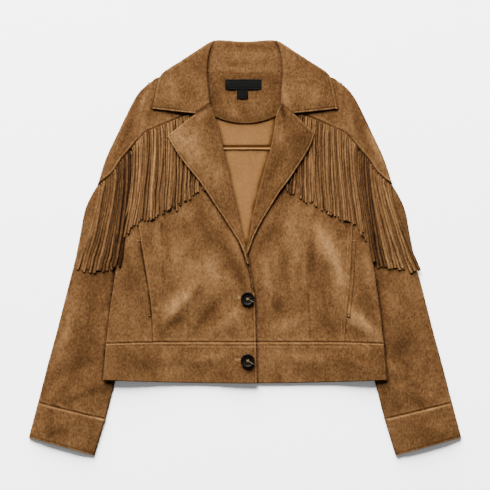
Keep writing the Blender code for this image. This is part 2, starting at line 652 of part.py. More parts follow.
def front(pile, side):
    """Yoke, sleeve head, front, side front and front band of one side, folded down along the body's edge."""
    sign = 1 if side == "left" else -1
    inset = CLOTH + SOFT_FOLD[-1][0]
    armhole, crease = body_side(side)
    armhole, crease = shifted(armhole, sign * inset), shifted(crease, sign * inset)
    armhole[-1] = crease[0]
    corner = armhole[0]
    front_edge = through(FRONT_EDGES[side], 21)
    cover = ROLL_COVER * np.clip((front_edge[:, 1] - BREAK_Y + 75.0) / 45.0, 0.0, 1.0)
    front_edge = shifted(front_edge, -sign * cover)
    yoke_seam = through([corner, *mirrored(YOKE_SEAM[1:-1], side), front_edge[0]], 9)
    pocket = through(POCKET_SEAMS[side], 15)
    part = through([crease[0], pocket[0]], 3)
    side_bottom = through([crease[-1], pocket[-1]], 3)
    front_bottom = through([pocket[-1], front_edge[-1]], 9)
    layer = Layer(pile, folds="front")

    head_outer = shifted(through(mirrored(SLEEVE_HEAD_EDGE, side), 8), sign * inset)
    along = head_outer[0] - head_outer[1]
    over = head_outer[0] + 5.0 * along / np.linalg.norm(along)
    middle, neck_point, ridge = mirrored([(-162.0, 222.0), NECK_POINT, (-104.0, 284.5)], side)
    yoke_left = through([over, middle, corner], 8)
    yoke_right = through([neck_point, *mirrored([(-64.5, 276.0), (-63.4, 251.0)], side), yoke_seam[-1]], 8)
    yoke_top = through([over, ridge, yoke_right[0]], 9)
    yoke = patch(yoke_left, yoke_right, yoke_top, yoke_seam)
    shoulder_fold = {"top": (SOFT_FOLD, CLOTH)}
    layer.piece(f"front_yoke_{side}", facing_out(yoke, side), CLOTH, SUEDE, turned=shoulder_fold)

    head_bottom = through([head_outer[-1], *mirrored(SLEEVE_SEAM[-2:0:-1], side), corner], 4)
    head = patch(head_outer, yoke_left, through([head_outer[0], over], 4), head_bottom)
    turned = shoulder_fold | {side: (SOFT_FOLD, None)}
    layer.piece(f"sleeve_head_{side}", facing_out(head, side), CLOTH, SUEDE, turned=turned)

    main_piece = patch(joined(armhole, part, pocket), front_edge, yoke_seam, front_bottom)
    layer.piece(f"front_{side}", facing_out(main_piece, side), CLOTH, SUEDE)
    fold = {side: (SOFT_FOLD, CLOTH)}
    side_front = patch(crease, pocket, part, side_bottom)
    layer.piece(f"side_front_{side}", facing_out(side_front, side), CLOTH, SUEDE, turned=fold)

    band_edge = 19.5 if side == "left" else UNDERLAP
    hem = hem_curve(sign * (HEM_CORNER[0] + inset), band_edge, 12)
    band_top = joined(side_bottom, front_bottom)
    band = patch(through([band_top[0], hem[0]], 3), through([band_top[-1], hem[-1]], 3), band_top, hem)
    layer.piece(f"front_band_{side}", facing_out(band, side), DOUBLED, SUEDE, turned=fold)
    layer.lay()


def pocket_welt(pile, side):
    """The narrow welt along the pocket's opening, on the side front's seam."""
    sign = 1 if side == "left" else -1
    seam = through(POCKET_SEAMS[side], 60)[24:54:3]
    outer = shifted(seam, -sign * 5.5)
    layer = Layer(pile)
    grid = patch(outer, seam, through([outer[0], seam[0]], 1), through([outer[-1], seam[-1]], 1))
    layer.piece(f"pocket_welt_{side}", facing_out(grid, side), TRIM, SUEDE)
    layer.lay()


def fringe(pile, name, seam, tips, count):
    """A strip sewn below a seam and the strands that hang from it, all one body."""
    chance = random.Random(name)
    knots = through(seam, count), through(tips, count)
    share = np.array([(k + side * STRAND_SHARE) for k in range(count) for side in (0, 1)])
    roots, ends = (
        np.column_stack([np.interp(share, range(count + 1), run[:, axis]) for axis in (0, 1)]) for run in knots
    )
    for k in range(count):
        longer, aside = chance.uniform(-3.5, 3.5), chance.uniform(-0.25, 0.25)
        ends[2 * k : 2 * k + 2] += (aside, longer)
    down = (ends - roots) / np.linalg.norm(ends - roots, axis=1)[:, None]
    rows = np.stack([roots + 0.6 * down, roots + STRIP_DEEP * down])
    height = pile.highest(rows[0][:, 0], rows[0][:, 1], 9.0) + AIR
    shell = bmesh.new()
    lower = [[shell.verts.new((*point * MM, z * MM)) for point, z in zip(row, height)] for row in rows]
    upper = [[shell.verts.new((*point * MM, (z + TRIM) * MM)) for point, z in zip(row, height)] for row in rows]
    for k in range(2 * count - 1):
        shell.faces.new([lower[0][k], lower[0][k + 1], lower[1][k + 1], lower[1][k]])
        shell.faces.new([upper[0][k], upper[1][k], upper[1][k + 1], upper[0][k + 1]])
        shell.faces.new([lower[0][k], upper[0][k], upper[0][k + 1], lower[0][k + 1]])
        root = [lower[1][k], lower[1][k + 1], upper[1][k + 1], upper[1][k]]
        if k % 2:
            shell.faces.new(root)
        else:
            strand(pile, shell, root, rows[1][k : k + 2], ends[k : k + 2])
    for k in (0, -1):
        shell.faces.new([lower[0][k], lower[1][k], upper[1][k], upper[0][k]])
    bmesh.ops.recalc_face_normals(shell, faces=shell.faces)
    bmesh.ops.triangulate(shell, faces=shell.faces)
    mesh = bpy.data.meshes.new(name)
    shell.to_mesh(mesh)
    shell.free()
    mesh.materials.append(material(SUEDE))
    bpy.context.scene.collection.objects.link(bpy.data.objects.new(name, mesh))
    points = np.array([vertex.co for vertex in mesh.vertices]) / MM
    faces = np.array([face.vertices for face in mesh.polygons])
    pile.add(points, faces)


def strand(pile, shell, root, starts, ends):
    """One strand of four sides from its root on the strip to its cut end, lying on the pile."""
    ring = root
    step = (ends.mean(axis=0) - starts.mean(axis=0)) / STRAND_STATIONS
    for station in range(1, STRAND_STATIONS + 1):
        places = starts + (ends - starts) * station / STRAND_STATIONS
        ahead = 0.0 if station == STRAND_STATIONS else 1.0
        spots = places.mean(axis=0) + np.linspace(-1.0, ahead, 15)[:, None] * step
        height = pile.highest(spots[:, 0], spots[:, 1], 3.5).max() + AIR
        low = [shell.verts.new((*place * MM, height * MM)) for place in places]
        high = [shell.verts.new((*place * MM, (height + TRIM) * MM)) for place in places]
        fresh = [low[0], low[1], high[1], high[0]]
        for a in range(4):
            b = (a + 1) % 4
            shell.faces.new([ring[a], ring[b], fresh[b], fresh[a]])
        ring = fresh
    shell.faces.new(ring)


def fringes(pile, side):
    """The fringe across the front and the fringe across the sleeve."""
    front_seam = ((-178.0, 161.0), (-160.5, 180.5), (-141.5, 189.5), (-122.5, 198.0), (-92.5, 210.5), (-64.0, 223.0))
    front_tips = ((-198.0, 10.0), (-182.0, 33.0), (-143.0, 50.0), (-110.0, 67.0), (-83.0, 83.0), (-60.0, 96.0))
    sleeve_seam = ((-234.0, 97.0), (-213.0, 115.5), (-199.0, 136.0), (-184.0, 153.5))
    sleeve_tips = ((-269.0, -39.0), (-245.0, -40.0), (-224.0, -37.0), (-208.0, -30.0))
    fringe(pile, f"fringe_sleeve_{side}", mirrored(sleeve_seam, side), mirrored(sleeve_tips, side), SLEEVE_STRANDS)
    fringe(pile, f"fringe_front_{side}", mirrored(front_seam, side), mirrored(front_tips, side), FRONT_STRANDS)


def collar_and_lapel(pile, side):
    """The collar's front leaf and the lapel, joined at the gorge seam and open at the notch."""
    sign = 1 if side == "left" else -1
    leaf, lapel = COLLAR_LEAF, LAPELS[side]
    roll_inset = DOUBLED + SOFT_FOLD[-1][0]
    top_inset = DOUBLED + ROLLED_FOLD[-1][0]
    roll_end = np.array(FRONT_EDGES[side][0]) + (-sign * roll_inset, 0.5)
    gorge = through([lapel["notch"], roll_end], 2)

    over = shifted(through(mirrored([leaf["shoulder"], *leaf["over"], leaf["top"]], side), 7), -sign * top_inset)
    roll_line = through(mirrored([leaf["top"], *leaf["roll"]], side) + [FRONT_EDGES[side][0]], 6)
    roll = shifted(roll_line, -sign * roll_inset)
    over[-1] = corner_inside(roll_line[0], over[-1] - roll_line[0], roll[0] - roll_line[0])
    shoulder, below = np.array(mirrored([leaf["shoulder"], leaf["edge"][-1]], side))
    inwards = over[0] - shoulder
    down = (below - shoulder) / np.linalg.norm(below - shoulder)
    over[0] = shoulder + down * (inwards @ inwards) / (down @ inwards)
    edge = through([over[0], *mirrored([*leaf["edge"][-2::-1], leaf["point"]], side)], 6)
    roll[0], roll[-1] = over[-1], roll_end
    collar = patch(edge, roll, over, joined(through([edge[-1], lapel["notch"]], 5), gorge))

    inner = shifted(through(FRONT_EDGES[side][:8], 13), -sign * roll_inset)
    inner[0] = roll_end
    outer = through([lapel["point"], *lapel["edge"], tuple(inner[-1] + (-sign * 3.5, -1.0))], 13)
    top = joined(through([outer[0], lapel["notch"]], 5), gorge)
    front_leaf = patch(outer, inner, top, through([outer[-1], inner[-1]], 7))

    roll_fold = {other(side): (SOFT_FOLD, ROLL_DROP)}
    layer = Layer(pile, rounds=10)
    layer.piece(f"collar_{side}", facing_out(collar, side), DOUBLED, SUEDE, turned=roll_fold | {"top": (ROLLED_FOLD, None)})
    layer.piece(f"lapel_{side}", facing_out(front_leaf, side), DOUBLED, SUEDE, turned=roll_fold)
    layer.lay()


def button(pile, name, x, y):
    """A dished four-hole button of turned horn, face up on the cloth."""
    base = pile.highest(x, y, BUTTON_RADIUS) + AIR
    shell = bmesh.new()
    profile = (
        # radius, height
        (0.0, 0.0), (7.0, 0.0), (10.2, 1.1), (BUTTON_RADIUS, 2.2), (10.4, BUTTON_HEIGHT), (8.2, BUTTON_HEIGHT - 0.2), (7.0, 2.4), (0.0, 2.2),
    )
    points = [shell.verts.new((radius * MM, 0.0, (base + height) * MM)) for radius, height in profile]
    edges = [shell.edges.new(pair) for pair in zip(points, points[1:])]
    bmesh.ops.spin(shell, geom=points + edges, cent=(0, 0, 0), axis=(0, 0, 1), angle=2 * math.pi, steps=20, use_merge=False)
    bmesh.ops.remove_doubles(shell, verts=shell.verts, dist=0.02 * MM)
    bmesh.ops.recalc_face_normals(shell, faces=shell.faces)
    mesh = bpy.data.meshes.new(name)
    shell.to_mesh(mesh)
    shell.free()
    mesh.materials.append(material(HORN))
    made = bpy.data.objects.new(name, mesh)
    made.location = (x * MM, y * MM, 0.0)
    bpy.context.scene.collection.objects.link(made)
    hole_circle, hole_radius = 2.6, 1.0
    for number in range(4):
        turn = math.radians(45 + 90 * number)
        bpy.ops.mesh.primitive_cylinder_add(
            vertices=8, radius=hole_radius * MM, depth=12 * MM,
            location=((x + hole_circle * math.cos(turn)) * MM, (y + hole_circle * math.sin(turn)) * MM, (base + 1.5) * MM),
        )
        cutter = bpy.context.object
        cutter.name = f"{name}_hole_{number}"
        cutter.hide_render = True
        cutter.display_type = "WIRE"
        cut = made.modifiers.new(f"hole_{number}", "BOOLEAN")
        cut.operation = "DIFFERENCE"
        cut.object = cutter


def centre_on_origin():
    """Moves everything so that the middle of the jacket's box is over the origin and its underside is at zero."""
    solids = [made for made in bpy.data.objects if not made.hide_render]
    corners = []
    for made in solids:
        place = np.array([vertex.co for vertex in made.data.vertices]) + np.array(made.location)
        corners += [place.min(axis=0), place.max(axis=0)]
    low, high = np.min(corners, axis=0), np.max(corners, axis=0)
    shift = -np.array([(low[0] + high[0]) / 2, (low[1] + high[1]) / 2, low[2]])
    for made in bpy.data.objects:
        made.location = tuple(np.array(made.location) + shift)
    print("moved to the origin by", [round(value / MM, 3) for value in shift], "mm")


def main():
    for old in list(bpy.data.objects):
        bpy.data.objects.remove(old)
    pile = Pile()
    collar_fall(pile)
    for side in ("left", "right"):
        sleeve_under(pile, side)
        sleeve_top(pile, side)
    back(pile)
    back_seam_allowance(pile)
    neck(pile)
    labels(pile)
    for side in ("right", "left"):
        front(pile, side)
        pocket_welt(pile, side)
        fringes(pile, side)
        collar_and_lapel(pile, side)
    button(pile, "button_upper", 4.2, -83.0)
    button(pile, "button_lower", 4.2, -182.0)
    centre_on_origin()


main()
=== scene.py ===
import math
import random

import bmesh
import bpy
import numpy as np
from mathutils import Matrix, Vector
from mathutils.bvhtree import BVHTree


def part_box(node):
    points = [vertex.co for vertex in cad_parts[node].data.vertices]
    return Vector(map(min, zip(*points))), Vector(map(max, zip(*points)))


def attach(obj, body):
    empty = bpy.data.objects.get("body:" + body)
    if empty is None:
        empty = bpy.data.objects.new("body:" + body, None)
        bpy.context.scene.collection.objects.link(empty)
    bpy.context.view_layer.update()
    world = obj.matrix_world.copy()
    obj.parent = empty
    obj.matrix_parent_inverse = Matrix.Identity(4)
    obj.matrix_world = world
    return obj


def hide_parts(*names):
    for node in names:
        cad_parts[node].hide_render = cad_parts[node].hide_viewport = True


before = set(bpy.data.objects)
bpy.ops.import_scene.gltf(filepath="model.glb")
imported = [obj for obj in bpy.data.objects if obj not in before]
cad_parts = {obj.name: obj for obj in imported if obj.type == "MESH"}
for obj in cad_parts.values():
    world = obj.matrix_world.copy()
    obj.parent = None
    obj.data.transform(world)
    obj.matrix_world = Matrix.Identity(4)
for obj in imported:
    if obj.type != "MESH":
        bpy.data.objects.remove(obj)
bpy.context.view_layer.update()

# Everything below is in millimetres on the maker's pattern, whose upper button is drawn at drawnButton.
# A mesh is moved onto the frame and made metres only when it is written.
mm = 0.001
drawnButton = (4.2, -83.0)
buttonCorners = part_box("button_upper")
patternShift = [(buttonCorners[0][k] + buttonCorners[1][k]) / 2 / mm - drawnButton[k] for k in (0, 1)]

cloth = {
    "suede": 1.2,            # one layer of faux suede
    "doubled": 1.9,          # two layers with interfacing: collar, lapels, bands, cuffs
    "onTheFloor": 1.6,       # the layers that the jacket rests on
    "doubledOnFloor": 2.2,
    "step": 2.6,             # mesh size over open cloth
    "insideStep": 3.0,       # mesh size inside the back
    "hiddenStep": 6.0,       # mesh size where other cloth covers it
    "seamGap": 0.06,         # each side of a seam
    "softSeamGap": 0.02,     # each side of one that is not to show
    "edgeRadius": 0.95,
    "edgeWave": 0.16,
    "stitchInset": 2.4,      # topstitching from the edge
    "stitchFurrow": 0.34,
    "stitchFurrowWide": 0.75,
    "floorClear": 0.3,
    "onLine": 0.3,           # what lies this near a line is on it
    "narrowest": 10.5,       # the least width that a strip is cut to
}


def toFrame(points):
    return (np.asarray(points) + (*patternShift, 0.0)) * mm


def addObject(name, data):
    thing = bpy.data.objects.new(name, data)
    bpy.context.scene.collection.objects.link(thing)
    return thing


# Curves: a run is a fine line of points, drawn smoothly through a few of the maker's points


def smoothRun(points, steps=24):
    knots = np.array(points, float)
    if len(knots) == 2:
        return np.linspace(knots[0], knots[1], steps + 1)
    ends = np.vstack([2 * knots[0] - knots[1], knots, 2 * knots[-1] - knots[-2]])
    fine = []
    for k in range(len(knots) - 1):
        a, b, c, d = ends[k:k + 4]
        for t in np.arange(steps) / steps:
            fine.append(0.5 * (2 * b + (c - a) * t + (2 * a - 5 * b + 4 * c - d) * t**2
                               + (3 * b - a - 3 * c + d) * t**3))
    return np.array(fine + [knots[-1]])


def straight(start, end):
    return smoothRun([start, end])


def signOf(side):
    return 1 if side == "left" else -1


def mirrored(points, side):
    return [(signOf(side) * x, y) for x, y in points]


def runFor(side, points):
    # the tables hold the left half. The right half is its mirror
    return smoothRun(mirrored(points, side))


def acrossMiddle(half, middleY):
    return [*half, (0.0, middleY), *mirrored(half[::-1], "right")]


def joinRuns(*runs):
    return np.vstack([runs[0]] + [run[1:] for run in runs[1:]])


def lengthsAlong(run):
    return np.concatenate([[0.0], np.cumsum(np.linalg.norm(np.diff(run, axis=0), axis=1))])


def pointsAt(run, shares):
    travelled = lengthsAlong(run)
    wanted = np.asarray(shares) * travelled[-1]
    return np.stack([np.interp(wanted, travelled, run[:, axis]) for axis in range(run.shape[1])], axis=-1)


def partOf(run, start, end):
    return pointsAt(run, np.linspace(start, end, 60))


def sideways(run, distance):
    # to the left of the way the run goes, where the distance is positive
    along = np.gradient(run, axis=0)
    along /= np.maximum(np.linalg.norm(along, axis=1), 1e-9)[:, None]
    return run + np.reshape(distance, (-1, 1)) * np.column_stack([-along[:, 1], along[:, 0]])


def distanceTo(run, points, atOnce=20000):
    line = pointsAt(run, np.linspace(0, 1, 90))
    start, way = line[:-1], np.diff(line, axis=0)
    nearest = np.empty(len(points))
    for first in range(0, len(points), atOnce):
        gap = points[first:first + atOnce, None] - start[None]
        share = np.clip((gap * way).sum(-1) / np.maximum((way**2).sum(-1), 1e-9), 0, 1)
        away = gap - share[..., None] * way
        nearest[first:first + atOnce] = np.sqrt((away**2).sum(-1).min(1))
    return nearest


def bell(away, width):
    return np.exp(-((away / width) ** 2))


def wobble(travelled, seed, shortest, longest, waves=5):
    # an uneven wave along a seam, between about -1 and 1
    chance = random.Random(seed)
    total = np.zeros_like(travelled)
    for _ in range(waves):
        wave = chance.uniform(shortest, longest)
        total += np.sin(2 * math.pi * (travelled / wave + chance.random())) / 2.6
    return total


# Heights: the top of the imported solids, softened, so that fine cloth lies where the solids lie


def heightsOf(nodeNames, cell=2.0, soften=5.0):
    points, triangles = [], []
    for name in nodeNames:
        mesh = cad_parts[name].data
        triangles += [[len(points) + k for k in face.vertices] for face in mesh.polygons]
        points += [(v.co.x / mm - patternShift[0], v.co.y / mm - patternShift[1], v.co.z / mm)
                   for v in mesh.vertices]
    tree = BVHTree.FromPolygons([Vector(p) for p in points], triangles)
    low, high = np.min(points, axis=0)[:2] - 12, np.max(points, axis=0)[:2] + 12
    xs, ys = np.arange(low[0], high[0], cell), np.arange(low[1], high[1], cell)
    top, known = np.zeros((2, len(ys), len(xs)))
    for j, y in enumerate(ys):
        for i, x in enumerate(xs):
            place, facing, _, _ = tree.ray_cast(Vector((x, y, 60.0)), Vector((0, 0, -1)))
            if place is not None and facing.z > 0.9:
                top[j, i], known[j, i] = place.z, 1.0
    reach = int(3.5 * soften / cell)
    weights = np.exp(-0.5 * (np.arange(-reach, reach + 1) * cell / soften) ** 2)

    def softened(values):
        rows, columns = values.shape
        for axis in (0, 1):
            wide = np.pad(values, [(reach, reach) if k == axis else (0, 0) for k in (0, 1)])
            values = sum(w * np.roll(wide, -k, axis)[:rows, :columns] for k, w in enumerate(weights))
        return values

    share = softened(known)
    field = softened(top) / np.maximum(share, 1e-5)
    field[share < 1e-5] = np.median(top[known > 0])
    return {"low": low, "cell": cell, "field": field}


def heightAt(heights, places):
    field = heights["field"]
    at = (places - heights["low"]) / heights["cell"]
    column = np.clip(at[:, 0], 0, field.shape[1] - 1.001)
    row = np.clip(at[:, 1], 0, field.shape[0] - 1.001)
    i, j = column.astype(int), row.astype(int)
    s, t = column - i, row - j
    return ((1 - s) * (1 - t) * field[j, i] + s * (1 - t) * field[j, i + 1]
            + (1 - s) * t * field[j + 1, i] + s * t * field[j + 1, i + 1])


# Creases are raised or sunk as listed. A heading turns anticlockwise from straight up
creases = {
    # layer: x, y, length, heading, width, height, bend
    "body": (
        (-104, -92, 92, -42, 26, 1.7, 0.1), (-60, -108, 84, -38, 20, -0.8, 0.16),
        (-30, -118, 70, -52, 24, 1.3, 0.08), (-78, -62, 60, -20, 20, 0.9, -0.1),
        (-128, -30, 120, 6, 22, 0.9, 0.05), (-148, -70, 110, 10, 16, -0.5, 0.0),
        (-20, -22, 90, 24, 20, -0.7, 0.05), (-48, 10, 80, 26, 24, 0.9, 0.05),
        (-84, 30, 110, 12, 26, 0.8, 0.0), (-176, -60, 120, 8, 18, 0.9, 0.05),
        (-190, -20, 70, 4, 12, -0.5, 0.0), (-166, 20, 70, -12, 18, 0.7, 0.1),
        (-4, -70, 50, 10, 14, 0.6, 0.0), (20, -60, 90, -8, 18, 0.8, 0.0), (44, -100, 70, 16, 20, -0.6, 0.1),
        (66, -40, 110, 4, 16, -0.6, 0.05), (82, 0, 90, 2, 20, 0.9, 0.0), (106, -20, 110, 0, 16, -0.7, 0.05),
        (128, 4, 80, 18, 24, 1.6, 0.1), (146, -36, 90, 14, 20, 1.5, 0.05),
        (132, -118, 60, -20, 18, -0.7, 0.0), (76, -122, 70, -60, 22, 0.8, 0.1),
        (184, -118, 84, 42, 18, 1.7, 0.08), (172, -134, 56, 50, 12, -0.6, 0.0),
        (190, -60, 90, 16, 16, 0.8, 0.05), (40, 40, 70, -24, 20, 0.7, 0.0),
        (-120, -182, 110, -88, 22, 0.7, 0.05), (-40, -176, 90, -80, 18, 0.6, 0.0),
        (96, -180, 120, 86, 20, 0.7, 0.05), (176, -186, 60, 70, 16, 0.6, 0.0),
        (-150, 232, 70, -18, 12, 0.9, 0.05), (-176, 196, 84, -24, 13, -0.8, 0.05),
        (-196, 176, 90, -26, 12, 1.0, 0.05), (-168, 214, 70, -22, 10, 0.7, 0.0),
        (164, 218, 76, 12, 11, 1.0, 0.0), (182, 188, 100, 22, 14, -0.9, 0.05),
        (204, 164, 80, 26, 12, 1.1, 0.05), (176, 240, 50, 30, 10, 0.6, 0.0),
    ),
    "sleeve": (
        (-248, -90, 150, -14, 24, -0.9, 0.05), (-284, -140, 120, -16, 26, 1.5, 0.05),
        (-214, -64, 70, 4, 12, -0.9, 0.1), (-226, -36, 60, -6, 16, 0.9, 0.0),
        (-232, -120, 90, -8, 14, 0.9, 0.05), (-278, -202, 90, -62, 22, -0.8, 0.1),
        (-250, -226, 70, -70, 20, 0.9, 0.1), (-300, -236, 60, -30, 16, 0.8, 0.0),
        (-264, -60, 60, -20, 16, 0.6, 0.0), (-300, -290, 70, -76, 18, 0.6, 0.05),
        (246, -60, 90, 16, 22, 1.2, 0.05), (258, -92, 60, 24, 16, -0.7, 0.0),
        (224, -100, 110, 8, 14, -0.8, 0.05), (240, -132, 80, 12, 16, 0.9, 0.05),
        (262, -160, 80, 30, 20, -0.7, 0.1), (292, -180, 90, 20, 18, 0.9, 0.0),
        (238, -196, 70, 56, 18, 1.0, 0.1), (272, -236, 80, 66, 18, 0.8, 0.05),
        (236, -252, 50, 50, 14, -0.6, 0.0), (300, -292, 70, 74, 18, 0.6, 0.05),
    ),
    "collar": (
        (-92, 262, 70, 30, 26, 0.8, 0.1), (-112, 240, 50, -10, 20, 0.6, 0.0),
        (96, 256, 70, -34, 24, 0.8, 0.1), (118, 236, 40, 12, 18, 0.6, 0.0),
        (-88, 164, 90, 30, 24, 0.9, 0.05), (-62, 152, 70, 16, 16, -0.5, 0.0),
        (-50, 110, 70, 26, 14, 0.6, 0.0), (78, 150, 80, -24, 22, 0.8, 0.05),
        (52, 122, 60, -22, 14, -0.4, 0.0), (61, 216, 30, 10, 6, -0.7, 0.0),
        (-66, 224, 30, -54, 8, 0.5, 0.0),
    ),
    "inside": (
        (6, 126, 130, 2, 26, 0.9, 0.0), (-18, 150, 60, 14, 16, 0.6, 0.0),
    ),
    "neck": (
        (24, 240, 60, -30, 20, 0.5, 0.0), (-30, 222, 50, 40, 18, 0.5, 0.0),
        (10, 304, 90, 86, 18, 0.7, 0.05), (-26, 292, 40, 70, 14, -0.4, 0.0),
    ),
}

# Where the nap is lighter or darker: partly brushed nap, partly painted shade and painted light along creases,
# seams and the lapels' edges
napAndShadeMarks = {
    # layer: x, y, length, width, heading, tone
    "body": (
        (-109, -95, 44, 22, -42, 0.95), (-109, -116, 30, 18, -60, -0.75), (-61, -110, 66, 15, -40, -0.8),
        # the dark mark at (-27, -14), and the one at (-5, -56) below it, are painted shade along the left
        # lapel's edge and the front edge under it
        (-27, -120, 60, 22, -50, 0.6), (-90, -82, 30, 16, -20, 0.5), (-27, -14, 78, 17, 26, -0.75),
        (-5, -56, 46, 14, 14, -0.6), (-71, -2, 34, 26, 0, -0.4), (-58, -36, 64, 38, 20, 0.35),
        (-152, 8, 44, 26, 0, -0.35), (-185, -52, 100, 18, 5, -0.25), (-187, 6, 44, 18, 4, 0.3),
        (-46, 62, 60, 24, 24, 0.35), (-126, 5, 70, 14, 2, -0.35), (-175, -182, 60, 30, 80, -0.4),
        (-46, -178, 70, 18, 88, 0.3), (-112, -196, 60, 16, 84, 0.2), (-96, 52, 46, 20, -70, 0.25),
        (125, 13, 50, 24, 18, 0.75), (147, -32, 64, 20, 15, 0.85), (107, -14, 74, 12, 0, -0.65),
        (133, -121, 36, 24, 20, -0.7), (53, -95, 40, 26, 0, -0.42), (49, 25, 24, 18, 0, -0.5),
        (65, -35, 74, 12, 5, -0.5), (82, -4, 54, 14, 4, 0.35), (189, -124, 62, 18, 44, 0.85),
        (173, -110, 32, 14, 30, 0.5), (168, -137, 34, 10, 60, -0.5), (72, -124, 54, 22, -60, 0.35),
        (36, -48, 74, 18, 2, 0.3), (26, 2, 44, 14, -20, -0.35), (100, -178, 84, 20, 86, 0.3),
        # the dark marks over the sleeve heads, at (-176, 212), (-186, 199) and (185, 186), are painted shade in
        # the creases there
        (160, -178, 44, 22, 86, -0.3), (196, -40, 80, 14, 12, 0.3), (-176, 212, 130, 56, -26, -0.3),
        (178, 210, 130, 52, 24, -0.2), (-188, -60, 170, 40, 5, -0.05), (-186, 199, 130, 13, -26, -0.3),
        (-165, 230, 56, 10, -20, 0.45), (-200, 198, 90, 8, -26, 0.45), (-146, 226, 50, 12, -10, -0.25),
        (185, 186, 126, 15, 21, -0.3), (208, 163, 66, 10, 26, 0.5), (168, 217, 62, 8, 10, 0.4),
        (138, 214, 40, 20, 60, -0.25), (-125, -186, 210, 66, 89, -0.06), (122, -186, 190, 66, -89, -0.08),
        (192, -40, 220, 46, 8, -0.2), (-104, -30, 60, 30, 30, 0.3), (-142, 20, 60, 14, 6, 0.3),
        (66, 20, 70, 18, -14, 0.3), (30, -110, 60, 18, 10, -0.3), (-60, 20, 50, 12, 30, -0.35),
    ),
    "collar": (
        (-86, 150, 150, 60, 32, 0.4), (-98, 170, 60, 34, 40, 0.5), (-70, 180, 50, 24, 10, 0.35),
        # the dark mark at (61, 216) is painted shade in the crease beside the right lapel's roll
        (61, 216, 30, 6, 10, -0.9), (-64, 222, 30, 8, -56, -0.5), (66, 238, 24, 8, 20, 0.5),
        (-68, 212, 26, 9, -50, 0.4), (-64, 158, 62, 24, 12, -0.3), (-51, 116, 54, 20, 24, 0.4),
        (-56, 200, 34, 20, 0, -0.4), (75, 154, 66, 38, -20, -0.2), (57, 175, 24, 13, -10, 0.5),
        (97, 174, 34, 26, 0, -0.4), (49, 133, 34, 16, -20, -0.35), (70, 110, 44, 14, -30, 0.3),
        (-118, 256, 50, 24, 10, 0.3), (-84, 290, 60, 16, 60, -0.25), (-76, 238, 44, 18, 60, -0.25),
        (110, 244, 60, 24, 60, 0.35), (84, 286, 60, 16, -60, -0.2),
    ),
    "sleeve": (
        (-246, -100, 96, 20, -6, -0.45), (-293, -155, 64, 22, -20, 0.5), (-283, -122, 44, 16, -16, 0.35),
        (-277, -201, 90, 38, -60, -0.4), (-209, -60, 34, 10, 4, -0.8), (-264, -174, 50, 20, -20, -0.3),
        (-226, -130, 60, 14, -8, 0.3), (-312, -286, 40, 22, 40, -0.4), (266, -55, 54, 24, 16, 0.45),
        (255, -81, 34, 20, 20, -0.45), (255, -153, 34, 26, 30, -0.4), (234, -190, 34, 20, 40, 0.4),
        (222, -96, 120, 13, 9, -0.55), (263, -256, 34, 14, 60, 0.35), (292, -214, 60, 18, 20, 0.25),
        (300, -300, 44, 22, 60, -0.3),
    ),
    "neck": (
        (-50, 240, 50, 14, 4, -0.3), (48, 232, 60, 14, -4, -0.3), (0, 302, 80, 20, 88, 0.2),
        # the dark band at y 270 and the light one at y 285 are painted shade and painted light at the seam
        # between the stand and the facing
        (2, 270, 100, 13, 90, -0.4), (0, 285, 100, 10, 90, 0.3), (0, 321, 96, 9, 90, -0.3),
        (-20, 214, 40, 16, 60, 0.25),
    ),
}

creaseDepth = 1.3              # on all the heights above
darkStrength = 0.72            # on every darker mark
layerStrength = {"sleeve": 0.65}
layerTone = {"body": -0.28, "sleeve": -0.38, "collar": -0.42, "inside": -0.12, "neck": -0.38}


def acrossAndAlong(places, x, y, heading):
    turn = math.radians(heading)
    dx, dy = places[:, 0] - x, places[:, 1] - y
    return dx * math.cos(turn) + dy * math.sin(turn), -dx * math.sin(turn) + dy * math.cos(turn)


def creaseLift(layer, places):
    lift = np.zeros(len(places))
    for x, y, length, heading, width, height, bend in creases[layer]:
        across, along = acrossAndAlong(places, x, y, heading)
        across = across - bend * along**2 / length * 2
        steep = np.where(across > 0, 0.75, 1.25)   # one flank of a crease is always the steeper
        shape = np.exp(-((across / width * 2 / steep) ** 2) - np.abs(along / length * 2) ** 3)
        lift += creaseDepth * height * shape
    return lift


def napAndShadeTone(layer, places):
    tone = np.zeros(len(places))
    for x, y, length, width, heading, value in napAndShadeMarks.get(layer, ()):
        across, along = acrossAndAlong(places, x, y, heading)
        strength = value * layerStrength.get(layer, 1.0) * (darkStrength if value < 0 else 1.0)
        tone += strength * np.exp(-((across / width * 1.8) ** 2) - np.abs(along / length * 1.9) ** 2.2)
    return tone


# Materials


def setSockets(tree, node, sockets):
    # a value is set on its socket, and another node's output is linked to it
    for key, value in sockets.items():
        if isinstance(value, bpy.types.NodeSocket):
            tree.links.new(value, node.inputs[key])
        else:
            node.inputs[key].default_value = value
    return node


def addNode(tree, kind, sockets=None, **settings):
    node = tree.nodes.new(kind)
    for key, value in settings.items():
        setattr(node, key, value)
    return setSockets(tree, node, sockets or {})


def mathNode(tree, operation, *values):
    return addNode(tree, "ShaderNodeMath", dict(enumerate(values)), operation=operation).outputs[0]


def noiseNode(tree, vector, scale, detail, rough=0.5, distortion=0.0):
    return addNode(tree, "ShaderNodeTexNoise", {
        "Vector": vector, "Scale": scale, "Detail": detail, "Roughness": rough,
        "Distortion": distortion}).outputs[0]


def objectPlace(tree):
    return addNode(tree, "ShaderNodeTexCoord").outputs["Object"]


def attributeOf(tree, name):
    return addNode(tree, "ShaderNodeAttribute", attribute_name=name).outputs["Fac"]


def makeTree(name, kind, inputs, outputs):
    tree = bpy.data.node_groups.new(name, kind)
    for label, socketKind, value in inputs:
        socket = tree.interface.new_socket(label, in_out="INPUT", socket_type="NodeSocket" + socketKind)
        if value is not None:
            socket.default_value = value
    for label, socketKind in outputs:
        tree.interface.new_socket(label, in_out="OUTPUT", socket_type="NodeSocket" + socketKind)
    return tree, tree.nodes.new("NodeGroupInput").outputs, tree.nodes.new("NodeGroupOutput").inputs


